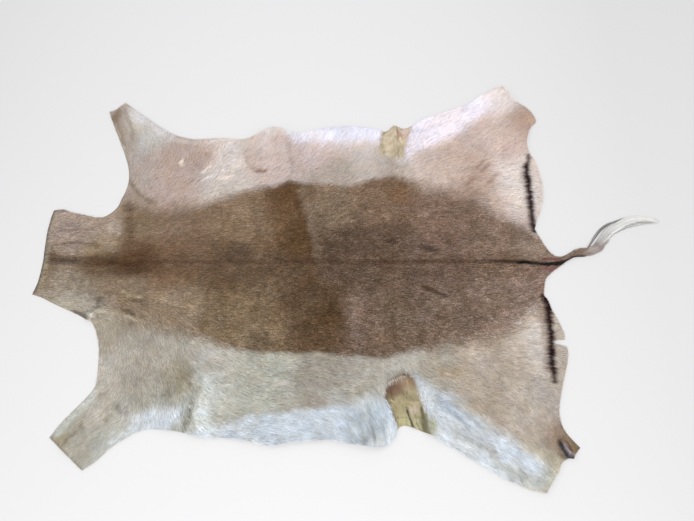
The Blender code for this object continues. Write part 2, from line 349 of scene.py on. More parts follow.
def rounded(ring, step):
    """The ring in short steps, curved through its points but not round its sharp turns."""
    before, after = np.roll(ring, 1, axis=0), np.roll(ring, -1, axis=0)
    back, ahead = ring - before, after - ring
    turn = np.degrees(np.abs(np.arctan2(
        back[:, 0] * ahead[:, 1] - back[:, 1] * ahead[:, 0], (back * ahead).sum(axis=1))))
    slope = np.where((turn < SHARP_TURN)[:, None], (after - before) / 2, 0.0)
    line = []
    for k in range(len(ring)):
        n = (k + 1) % len(ring)
        chord = ring[n] - ring[k]
        m0 = slope[k] if slope[k].any() else chord
        m1 = slope[n] if slope[n].any() else chord
        count = max(1, round(float(np.linalg.norm(chord)) / step))
        t = (np.arange(count) / count)[:, None]
        line.append((2 * t**3 - 3 * t**2 + 1) * ring[k] + (t**3 - 2 * t**2 + t) * m0
                    + (3 * t**2 - 2 * t**3) * ring[n] + (t**3 - t**2) * m1)
    return np.vstack(line)


def fill_inside(raster, ring):
    """Whether each raster point lies inside the ring, one row of the grid at a time."""
    xs, ys = raster.places()
    within = np.zeros(raster.shape, bool)
    after = np.roll(ring, -1, axis=0)
    for j, y in enumerate(ys[0]):
        hit = (ring[:, 1] <= y) != (after[:, 1] <= y)
        a, b = ring[hit], after[hit]
        crossings = a[:, 0] + (y - a[:, 1]) * (b[:, 0] - a[:, 0]) / (b[:, 1] - a[:, 1])
        within[:, j] = (crossings[None, :] > xs[:, j, None]).sum(axis=1) % 2 == 1
    return within


def edge_raster(ring, low, high):
    """The distance to the outline: above 0 inside it, below 0 outside."""
    made = Raster(low, high, EDGE_GRID)
    tree = KDTree(len(ring))
    for i, (x, y) in enumerate(ring):
        tree.insert((x, y, 0), i)
    tree.balance()
    xs, ys = made.places()
    gaps = np.array([tree.find((x, y, 0))[2] for x, y in zip(xs.ravel(), ys.ravel())])
    made.values = np.where(fill_inside(made, ring), 1, -1) * gaps.reshape(made.shape)
    return made


def lift_raster(solid, low, high):
    """How far the underside stands above the floor, carried on past the outline."""
    made = Raster(low, high, LIFT_GRID)
    tree = BVHTree.FromBMesh(solid)
    xs, ys = made.places()
    starts = to_row(xs.ravel(), ys.ravel(), np.full(xs.size, RAY_START))
    up = Vector((0, 0, 1))
    hits = [tree.ray_cast(Vector(p), up)[0] for p in starts]
    lift = np.array([np.nan if h is None else max(h.z, 0.0) / MM for h in hits])
    lift = lift.reshape(made.shape)
    for _ in range(CARRY_ON):
        around = np.stack([np.roll(lift, s, axis=a) for a in (0, 1) for s in (-1, 1)])
        counts = (~np.isnan(around)).sum(axis=0)
        mean = np.nansum(around, axis=0) / np.maximum(counts, 1)
        lift = np.where(np.isnan(lift) & (counts > 0), mean, lift)
    made.values = np.nan_to_num(lift)
    return made


solid_hide = merged_copy("hide")
RIM = rounded(rim_of(solid_hide), RIM_STEP)
PLAN_LOW, PLAN_HIGH = RIM.min(axis=0), RIM.max(axis=0)
EDGE = edge_raster(rounded(RIM, FINE_STEP), PLAN_LOW, PLAN_HIGH)
LIFT = lift_raster(solid_hide, PLAN_LOW, PLAN_HIGH)
solid_hide.free()
print("outline", len(RIM), "points; most lift", round(float(LIFT.values.max()), 1), "mm")

# %% [markdown]
# Creases, unevenness and shapes on the plan
#
# Small creases are too fine for the solid, so they are laid on here, each a soft ridge along its route.
# A negative height presses a trough between two low shoulders, since the skin can't sink into the
# floor. The same few shapes (a route, a round patch, an area) later place the colours too.


# %% Shapes on the plan
PATCH_FADE = 0.6             # share of an oval patch over which it fades


def noise(x, y, size, seed):
    """Smooth noise from -1 to 1 whose lumps are about size across."""
    table = np.random.default_rng(seed).uniform(-1, 1, (256, 256))
    u, v = x / size + 97.3, y / size + 41.7
    i, j = np.floor(u).astype(int), np.floor(v).astype(int)
    u, v = ease(u - i), ease(v - j)
    i, j, i1, j1 = i % 256, j % 256, (i + 1) % 256, (j + 1) % 256
    near = table[i, j] * (1 - u) + table[i1, j] * u
    far = table[i, j1] * (1 - u) + table[i1, j1] * u
    return near * (1 - v) + far * v


def noises(x, y, rows, start=0.0):
    """Several noises added to start. A row is a strength, a size and a seed."""
    return sum((strength * noise(x, y, size, seed) for strength, size, seed in rows), start)


def route_distance(route, x, y):
    """How far each point is from a route of straight runs."""
    nearest = np.full(np.shape(x), np.inf)
    for (ax, ay), (bx, by) in zip(route, route[1:]):
        dx, dy = bx - ax, by - ay
        share = np.clip(((x - ax) * dx + (y - ay) * dy) / (dx * dx + dy * dy), 0, 1)
        nearest = np.minimum(nearest, np.hypot(x - ax - share * dx, y - ay - share * dy))
    return nearest


def bell(distance, half_width):
    """1 on a line, 0 from half_width on."""
    return 0.5 + 0.5 * np.cos(math.pi * np.clip(distance / half_width, 0, 1))


def patch_share(x, y, centre, halves, turn):
    """1 in the middle of an oval patch, fading to 0 at its rim."""
    c, s = math.cos(math.radians(turn)), math.sin(math.radians(turn))
    dx, dy = x - centre[0], y - centre[1]
    reach = np.hypot((dx * c + dy * s) / halves[0], (dy * c - dx * s) / halves[1])
    return ease((1 - reach) / PATCH_FADE)


def area_share(x, y, corners, soft):
    """1 inside an area, 0 outside, fading over soft to both sides of its border."""
    within = np.zeros(np.shape(x), bool)
    for (ax, ay), (bx, by) in zip(corners, [*corners[1:], corners[0]]):
        if ay != by:
            crosses = (ay <= y) != (by <= y)
            within ^= crosses & (ax + (y - ay) * (bx - ax) / (by - ay) > x)
    gap = route_distance([*corners, corners[0]], x, y)
    return ease(0.5 + 0.5 * np.where(within, gap, -gap) / soft)


# Columns: what it is, its route, half width, height (a trough if below 0).
CREASES = [
    ("neck tuck", [(-447, -104), (-438, -92), (-420, -88)], 6, 2.2),
    ("neck tuck, lower", [(-443, -113), (-430, -106), (-412, -104)], 5, 1.6),
    ("neck tear lip", [(-398, -46), (-384, -56), (-366, -62)], 5, 1.8),
    ("neck second lip", [(-402, -86), (-384, -98), (-368, -112)], 5, 2.0),
    ("far shoulder scar", [(-322, 214), (-318, 204)], 3, 1.0),
    ("far flank scar", [(-292, 184), (-268, 196), (-254, 204)], 3, 1.0),
    ("far flank hook", [(-187, 232), (-180, 214), (-164, 203)], 4, -1.2),
    ("far flank fold line", [(-118, 262), (-112, 235), (-104, 205), (-98, 172)], 6, -1.4),
    ("far belly seam", [(-108, 258), (-40, 256), (30, 254)], 7, 1.0),
    ("far groin keel", [(94, 288), (93, 255), (95, 222)], 3.5, 3.0),
    ("far groin dark fold", [(101, 286), (100, 252), (98, 222)], 3, -1.6),
    ("far groin hem", [(72, 270), (62, 248), (60, 224)], 4, 1.8),
    ("foreleg fold line", [(-250, -240), (-258, -262), (-263, -296)], 5, -2.4),
    ("foreleg fold lip", [(-246, -250), (-250, -272), (-246, -298)], 5, 2.0),
    ("shoulder line", [(-272, -150), (-256, -180), (-248, -215), (-250, -240)], 8, -1.2),
    ("near groin head", [(68, -217), (88, -208), (112, -206)], 5, 2.4),
    ("near groin left lip", [(66, -222), (74, -250), (80, -284)], 6, 2.6),
    ("near groin pleat", [(102, -262), (106, -280), (112, -296)], 3, -2.2),
    ("near groin second pleat", [(120, -262), (126, -282), (130, -302)], 3, -1.8),
    ("near groin ridge", [(96, -240), (98, -262), (100, -288)], 4, 1.4),
    ("near thigh notch", [(222, -312), (228, -322), (236, -344)], 4, -1.8),
    ("near thigh notch lip", [(228, -308), (238, -326), (244, -342)], 4, 1.6),
    ("near thigh long wrinkle", [(150, -296), (210, -330), (262, -352)], 6, 1.2),
    ("near shank wrinkle", [(262, -330), (292, -352), (322, -372)], 6, 1.0),
    ("near rump scratch", [(262, -142), (290, -132), (316, -120)], 3, -0.8),
    ("hock slot", [(344, -320), (350, -330), (358, -342)], 3, -1.5),
    ("curved crease", [(134, -47), (150, -55), (164, -61), (173, -64)], 5, -0.8),
    ("far rump wrinkle", [(212, 180), (232, 196), (252, 208)], 6, 1.0),
    ("far rump second wrinkle", [(222, 168), (246, 180), (262, 196)], 6, 0.9),
    ("far shin wrinkle", [(-448, 322), (-432, 300), (-420, 272)], 5, 1.2),
    ("belly roll rim", [(34, -234), (66, -250), (78, -284), (66, -312)], 6, 1.4),
]
SHOULDER_WIDTH = 2.6         # how far a trough's shoulders reach, in its half widths
SHOULDER_HEIGHT, TROUGH_DEPTH = 0.8, 1.1  # both as shares of the row's height
UNEVEN = 0.9                 # most height of the skin's own slow waves, in millimetres
WAVES = [(1.0, 62, 11), (0.5, 27, 12)]  # their strengths, sizes and seeds
WAVE_MARGIN = 30             # distance from the border over which they die away
SKIN = 1.5                   # thickness of the leather
TAIL_ROUTE = [(352, 2), (384, 3), (397, 8), (413, 17), (437.5, 22.5)]
TAIL_ROLL = 2.6              # how far the tail's skin is rolled up above its edges


def lift_of(x, y):
    """The leather's underside above the floor."""
    lift = LIFT.read(x, y)
    for _, route, half_width, height in CREASES:
        distance = route_distance(route, x, y)
        if height > 0:
            lift = lift + height * bell(distance, half_width)
        else:
            shoulder = SHOULDER_HEIGHT * bell(distance, SHOULDER_WIDTH * half_width)
            lift = lift - height * (shoulder - TROUGH_DEPTH * bell(distance, half_width))
    waves = UNEVEN * np.maximum(noises(x, y, WAVES), 0)
    return np.maximum(lift + waves * ease(EDGE.read(x, y) / WAVE_MARGIN), 0)


# %% [markdown]
# The coat's colours
#
# The coat is painted on the plan in layers, the way a taxidermist would describe it: a ground tint for
# every part of the body, then the brown saddle between two soft borders, the white of the belly and
# thighs, the rump stripes, and last the small marks. Each layer is a named row with a colour that was
# read off, so any one of them can be changed by itself.

# %% Ground tints and the saddle
# Columns: part of the body, x, y, reach, colour. A point takes the mean of the tints near it.
GROUND = [
    ("far foreleg, outer", -452, 312, 26, (168, 152, 138)),
    ("far foreleg, inner", -418, 318, 26, (208, 201, 193)),
    ("far forearm", -432, 262, 26, (172, 160, 148)),
    ("far elbow", -378, 272, 32, (192, 188, 184)),
    ("far shoulder", -318, 226, 42, (178, 160, 150)),
    ("far shoulder back", -272, 232, 26, (194, 176, 168)),
    ("far chest", -392, 190, 34, (176, 164, 156)),
    ("far shoulder, low", -330, 172, 34, (182, 162, 152)),
    ("far ribs", -230, 226, 40, (208, 198, 192)),
    ("far ribs, low", -225, 180, 36, (204, 194, 186)),
    ("far flank bulge", -140, 262, 30, (200, 186, 180)),
    ("far flank hollow", -164, 204, 30, (200, 182, 174)),
    ("far flank", -60, 228, 40, (192, 176, 172)),
    ("far flank, low", -30, 182, 36, (170, 158, 148)),
    ("far flank, hind", 40, 220, 36, (188, 178, 172)),
    ("far groin foot", 90, 205, 34, (176, 166, 158)),
    ("far stifle", 160, 202, 34, (200, 182, 171)),
    ("far thigh", 210, 240, 46, (189, 169, 159)),
    ("far thigh, hind", 280, 270, 40, (202, 183, 174)),
    ("far hock", 350, 300, 34, (184, 161, 149)),
    ("far shank", 312, 358, 32, (216, 206, 202)),
    ("far rump", 240, 168, 36, (184, 162, 149)),
    ("far rump, cream", 318, 176, 34, (212, 200, 194)),
    ("far rump, by the tail", 316, 100, 28, (196, 180, 172)),
    ("near neck root", -420, -140, 34, (178, 168, 152)),
    ("neck, near edge", -480, -78, 30, (174, 166, 152)),
    ("near chest", -398, -200, 36, (193, 187, 177)),
    ("near forearm", -400, -262, 34, (185, 180, 169)),
    ("near foreleg", -430, -312, 34, (174, 168, 154)),
    ("near foreleg, inner", -392, -322, 26, (188, 188, 180)),
    ("near shoulder", -340, -200, 36, (174, 166, 154)),
    ("near shoulder back", -290, -176, 30, (184, 177, 164)),
    ("near elbow", -318, -246, 32, (174, 172, 162)),
    ("near ribs", -225, -196, 36, (184, 180, 172)),
    ("near ribs, pale", -240, -240, 32, (190, 191, 184)),
    ("near flank", -140, -210, 46, (176, 174, 162)),
    ("near flank, hind", -40, -212, 46, (160, 152, 140)),
    ("near flank, last", 30, -206, 36, (168, 162, 152)),
    ("near groin head", 100, -188, 34, (180, 174, 164)),
    ("near stifle", 150, -198, 36, (166, 158, 144)),
    ("near thigh", 220, -240, 46, (172, 160, 146)),
    ("near thigh, hind", 300, -262, 42, (184, 174, 164)),
    ("near thigh, top", 240, -178, 40, (182, 168, 154)),
    ("near hock", 350, -312, 30, (148, 128, 110)),
    ("near shank", 312, -366, 34, (186, 178, 160)),
    ("near rump, cream", 318, -160, 32, (196, 184, 172)),
    ("near rump, by the tail", 330, -70, 26, (196, 178, 162)),
]
# Columns: x, far border's y, its softness, near border's y, its softness.
SADDLE = [
    (-600, 135, 30, -70, 30),
    (-480, 132, 30, -60, 30),
    (-440, 130, 30, -68, 26),
    (-407, 124, 30, -92, 26),
    (-364, 114, 26, -118, 32),
    (-314, 114, 24, -132, 28),
    (-267, 120, 22, -138, 18),
    (-230, 135, 18, -147, 13),
    (-195, 148, 13, -161, 10),
    (-148, 156, 9, -169, 8),
    (-106, 167, 8, -171, 7),
    (-85, 161, 8, -171, 6),
    (-51, 157, 8, -171, 6),
    (-2, 158, 8, -173, 6),
    (34, 167, 9, -176, 7),
    (63, 173, 9, -176, 8),
    (88, 179, 11, -172, 9),
    (110, 172, 13, -167, 11),
    (132, 162, 19, -162, 14),
    (158, 155, 26, -159, 17),
    (199, 145, 30, -153, 24),
    (236, 132, 32, -146, 28),
    (270, 112, 28, -134, 30),
    (296, 92, 22, -116, 30),
    (340, 59, 14, -82, 26),
    (400, 40, 12, -50, 22),
]
# Columns: part of the saddle, x, y, reach, colour.
SADDLE_TINTS = [
    ("neck, far", -500, 60, 36, (170, 153, 142)),
    ("neck, near", -490, -60, 36, (150, 136, 120)),
    ("neck, cut edge", -545, 10, 24, (122, 105, 83)),
    ("neck root", -448, 20, 34, (150, 132, 108)),
    ("neck root, far", -448, 78, 26, (174, 156, 140)),
    ("withers, far", -390, 80, 36, (138, 118, 96)),
    ("withers", -380, 10, 36, (98, 74, 54)),
    ("withers, near", -386, -66, 36, (150, 131, 110)),
    ("shoulder, far", -310, 90, 44, (133, 111, 92)),
    ("shoulder", -310, 0, 44, (122, 96, 74)),
    ("shoulder, near", -296, -96, 38, (157, 138, 116)),
    ("back, far", -220, 90, 44, (136, 114, 92)),
    ("back", -215, 0, 44, (112, 90, 70)),
    ("back, near", -200, -110, 44, (131, 111, 87)),
    ("fold, far", -100, 120, 30, (108, 82, 58)),
    ("fold", -78, 40, 30, (102, 78, 54)),
    ("fold, near", -70, -60, 30, (102, 81, 61)),
    ("behind the fold, far", -30, 110, 36, (134, 114, 94)),
    ("behind the fold", -10, 20, 40, (98, 80, 66)),
    ("behind the fold, near", -30, -110, 34, (98, 76, 54)),
    ("loin, far", 60, 120, 36, (132, 108, 88)),
    ("loin", 80, 30, 46, (103, 84, 69)),
    ("loin, near", 20, -110, 30, (132, 110, 96)),
    ("loin, near back", 90, -120, 36, (114, 95, 78)),
    ("croup, far", 170, 90, 40, (132, 108, 92)),
    ("croup", 180, 10, 46, (120, 98, 86)),
    ("croup, near", 180, -90, 44, (124, 104, 89)),
    ("rump, far", 260, 60, 36, (131, 109, 93)),
    ("rump", 270, 5, 36, (146, 122, 104)),
    ("rump, near", 270, -60, 36, (141, 120, 106)),
    ("tail root, far", 335, 35, 22, (147, 128, 113)),
    ("tail root, near", 335, -35, 22, (144, 120, 106)),
]


SADDLE_WANDER = [(5.0, 26, 21), (2.5, 9, 22)]  # strengths, sizes and seeds, as of all noises below


def mean_tint(rows, x, y):
    """The tints near a point, averaged by how near they are."""
    total, colour = 1e-9, np.zeros((*np.shape(x), 3))
    for _, tx, ty, reach, tint in rows:
        weight = 1 / (1 + ((x - tx) ** 2 + (y - ty) ** 2) / reach**2) ** 3
        total = total + weight
        colour += weight[..., None] * linear(tint)
    return colour / np.expand_dims(total, -1)


def saddle_share(x, y):
    """1 in the brown saddle, with both borders wandering a little."""
    xs, far, far_soft, near, near_soft = (np.array(c, float) for c in zip(*SADDLE))
    wander = noises(x, y, SADDLE_WANDER)
    from_far = np.interp(x, xs, far) + wander - y
    from_near = y - np.interp(x, xs, near) + wander
    return (ease(0.5 + 0.5 * from_far / np.interp(x, xs, far_soft))
            * ease(0.5 + 0.5 * from_near / np.interp(x, xs, near_soft)))


# %% [markdown]
# White parts, bare patches and marks
#
# Areas with a border come next: the white belly and thigh fringes and the two bare groins. Marks are
# small and many. A patch row is an oval, a line row follows a route, and both say how strongly they
# cover what is under them.

# %% Areas, patches and lines
FAR_GROIN = [(70, 282), (92, 298), (130, 298), (126, 284), (117, 256), (115, 248), (110, 228),
             (108, 214), (81, 214), (55, 216), (57, 228), (63, 256)]
NEAR_GROIN = [(56, -232), (57, -226), (62, -218), (76, -211), (93, -206), (99, -204), (108, -206),
              (111, -214), (114, -228), (119, -244), (125, -259), (130, -272), (133, -290),
              (138, -312), (118, -312), (82, -300), (79, -288), (72, -272), (66, -258), (60, -245)]
HOCK_FLAP = [(341, -320), (350, -317), (362, -337), (364, -348), (355, -346)]
# Columns: what it is, corners, softness, colour, cover
AREAS = [
    ("far belly, white", [(-122, 300), (-118, 266), (-96, 254), (0, 252), (62, 251), (74, 300)], 7,
     (216, 213, 222), 0.95),
    ("far belly, under", [(-100, 258), (60, 258), (60, 240), (0, 234), (-100, 242)], 9,
     (206, 192, 188), 0.5),
    ("far thigh, white", [(112, 300), (116, 262), (104, 210), (132, 228), (200, 262), (246, 298),
                          (290, 342), (300, 366), (268, 376), (220, 350), (160, 328)], 15,
     (226, 220, 228), 0.97),
    ("near belly, white", [(-262, -306), (-207, -287), (-175, -279), (-143, -274), (-99, -267),
                           (-66, -265), (-33, -260), (0, -256), (34, -250), (62, -246), (74, -262),
                           (84, -300), (60, -340), (-262, -330)], 7, (197, 204, 211), 0.95),
    ("near belly, grey head", [(-40, -236), (20, -222), (58, -228), (64, -250), (30, -258),
                               (-20, -256)], 12, (196, 194, 186), 0.6),
    ("near elbow, white", [(-350, -276), (-322, -264), (-298, -262), (-268, -266), (-282, -298),
                           (-320, -308), (-362, -322)], 9, (214, 219, 224), 0.95),
    ("near foreleg, pale edge", [(-362, -296), (-330, -300), (-400, -352), (-426, -370),
                                 (-404, -340)], 12, (192, 192, 188), 0.75),
    ("near thigh, white", [(112, -206), (142, -222), (184, -248), (222, -280), (256, -304),
                           (290, -332), (326, -360), (306, -390), (262, -380), (205, -360),
                           (150, -326), (132, -286), (120, -244)], 11, (198, 204, 210), 0.93),
    ("far rump lobe", [(352, 60), (348, 90), (350, 150), (350, 200), (352, 232), (380, 232),
                       (380, 60)], 3, (212, 200, 193), 0.9),
    ("near rump lobe", [(354, -66), (360, -100), (358, -150), (356, -200), (352, -238), (385, -238),
                        (385, -66)], 3, (184, 173, 162), 0.9),
]
# Columns: what it is, x, y, half length, half width, turn, colour, cover
PATCHES = [
    ("far belly glow", 0, 276, 60, 10, 0, (222, 221, 230), 0.6),
    ("raised edge, pale", -144, 279, 40, 10, 0, (216, 206, 200), 0.9),
    ("raised edge, pink", -132, 256, 26, 16, 20, (200, 176, 168), 0.6),
    ("far shoulder, brown", -280, 217, 31, 31, 10, (168, 144, 131), 0.65),
    ("far shoulder, fore", -352, 214, 40, 30, 0, (180, 160, 150), 0.5),
    ("far shoulder whorl", -404, 108, 21, 16, -30, (92, 71, 55), 0.85),
    ("far shoulder, dim", -376, 128, 30, 9, -30, (150, 132, 112), 0.5),
    ("far shin, dark", -456, 316, 22, 12, 60, (128, 110, 88), 0.8),
    ("far shin, pale", -416, 314, 34, 14, -40, (208, 204, 198), 0.7),
    ("far flank dash", -166, 198, 10, 3, -25, (140, 108, 92), 0.8),
    ("far ribs, pale", -214, 208, 26, 14, 25, (214, 203, 197), 0.6),
    ("far flank, grey", 16, 196, 44, 16, 5, (174, 165, 154), 0.7),
    ("far thigh, fur gap", 256, 186, 32, 19, 40, (180, 156, 144), 0.75),
    ("far rump, umber", 236, 146, 34, 12, -20, (160, 136, 122), 0.5),
    ("far rump, olive tan", 278, 118, 22, 24, 0, (180, 158, 139), 0.6),
    ("far thigh, tan rim", 358, 310, 12, 22, 20, (202, 168, 144), 0.7),
    ("far rump, blush", 316, 240, 40, 22, 60, (190, 166, 154), 0.6),
    ("by the far stripe", 322, 142, 24, 76, 0, (218, 208, 200), 0.85),
    ("by the near stripe", 328, -150, 30, 82, 0, (208, 200, 193), 0.8),
    ("brown wedge in the far thigh", 150, 164, 34, 12, -15, (176, 156, 140), 0.5),
    ("back, dark", -196, 26, 34, 22, 0, (96, 80, 65), 0.65),
    ("spine blot, withers", -346, 1, 12, 7, 0, (78, 58, 42), 0.6),
    ("spine blot, fold", -66, 3, 18, 9, 0, (70, 50, 35), 0.65),
    ("back, ginger", -170, -20, 30, 24, 0, (128, 104, 78), 0.5),
    ("loin, dark spot", 82, 41, 17, 9, -8, (72, 55, 44), 0.8),
    ("loin, rust", 100, 140, 30, 34, 0, (122, 91, 64), 0.7),
    ("loin, rust head", 80, 168, 24, 12, 10, (138, 112, 88), 0.7),
    ("loin, second spot", 147, 27, 23, 10, -10, (74, 58, 48), 0.85),
    ("loin, small spot", 100, 22, 10, 5, 0, (84, 66, 54), 0.6),
    ("loin, russet", 74, -6, 28, 14, 0, (96, 68, 56), 0.55),
    ("croup blot", 141, -35, 7, 5, 0, (78, 60, 48), 0.7),
    ("fold, far head", -110, 146, 28, 22, 0, (98, 73, 47), 0.85),
    ("fold, mid", -84, 62, 17, 60, -14, (100, 74, 48), 0.7),
    ("fold, near", -66, -24, 22, 40, -12, (106, 79, 53), 0.6),
    ("fold, dark foot", -28, -104, 32, 28, 0, (88, 66, 44), 0.75),
    ("pale band", 12, -100, 10, 54, 6, (140, 120, 106), 0.55),
    ("saddle foot, dark", 66, -144, 34, 16, 0, (108, 84, 64), 0.55),
    ("neck, ochre", -540, -26, 10, 40, 5, (158, 140, 106), 0.6),
    ("neck, pale crescent", -424, 66, 18, 26, 20, (194, 179, 165), 0.7),
    ("neck, crescent foot", -428, 34, 20, 16, -30, (176, 158, 142), 0.55),
    ("neck, grey near edge", -474, -66, 30, 16, -8, (176, 168, 154), 0.6),
    ("neck tear, grey", -420, -112, 30, 18, 0, (178, 170, 156), 0.7),
    ("neck tear, knob", -443, -102, 8, 8, 0, (228, 222, 214), 1.0),
    ("neck tuft shade", -369, -75, 16, 5, -8, (96, 78, 60), 0.8),
    ("neck blot", -370, -118, 7, 6, 0, (106, 90, 72), 0.7),
    ("near foreleg, beige", -414, -282, 22, 13, 50, (190, 180, 168), 0.6),
    ("near foreleg, ochre", -462, -312, 15, 9, 35, (164, 151, 116), 0.65),
    ("near foreleg, olive", -440, -296, 14, 10, 60, (142, 132, 108), 0.6),
    ("near foreleg, umber", -402, -240, 16, 6, 0, (146, 134, 118), 0.5),
    ("near foreleg, blot", -394, -284, 9, 10, 50, (150, 142, 128), 0.6),
    ("near shoulder, umber", -284, -216, 38, 48, 0, (153, 144, 122), 0.75),
    ("near shoulder, umber core", -268, -216, 22, 40, 14, (140, 131, 109), 0.5),
    ("near elbow, olive foot", -274, -297, 15, 8, 0, (156, 157, 140), 0.7),
    ("near ribs, pale streak", -228, -244, 18, 52, -4, (204, 207, 203), 0.75),
    ("near elbow, bright wedge", -236, -280, 22, 33, 10, (208, 214, 216), 0.85),
    ("near ribs, light head", -256, -150, 34, 9, -12, (198, 190, 176), 0.6),
    ("near flank, grey", 10, -236, 50, 12, 14, (160, 154, 142), 0.5),
    ("near stifle, tan", 172, -202, 30, 13, 0, (158, 138, 112), 0.55),
    ("near stifle, blot", 172, -205, 14, 3, 0, (196, 180, 160), 0.7),
    ("near thigh, yellow", 196, -262, 36, 12, -24, (168, 152, 126), 0.5),
    ("belly roll", 34, -280, 46, 46, 0, (168, 175, 178), 0.9),
    ("roll foot", 20, -319, 30, 6, 0, (146, 152, 156), 0.6),
    ("near thigh, blue", 172, -266, 34, 12, -36, (176, 184, 192), 0.6),
    # painted shade in the near thigh's notch
    ("near thigh, fold", 232, -326, 5, 18, 28, (150, 136, 122), 0.7),
    ("near thigh, rust", 238, -344, 9, 5, -20, (158, 136, 108), 0.8),
    ("near shank, cream", 316, -372, 20, 24, -25, (190, 187, 170), 0.6),
    ("near shank, dull edge", 268, -366, 56, 13, -24, (172, 172, 163), 0.85),
    ("near shank, grey side", 324, -352, 11, 26, -25, (160, 152, 136), 0.6),
    ("near groin, olive side", 141, -291, 9, 20, 10, (162, 160, 118), 0.8),
    ("near hock, brown", 354, -324, 24, 20, 0, (130, 113, 93), 0.8),
    ("near hock, rust", 366, -327, 6, 4, 30, (150, 116, 66), 0.85),
    # painted shade under the hock's flap
    ("near hock, under the flap", 345, -338, 11, 8, -40, (92, 82, 68), 0.8),
]
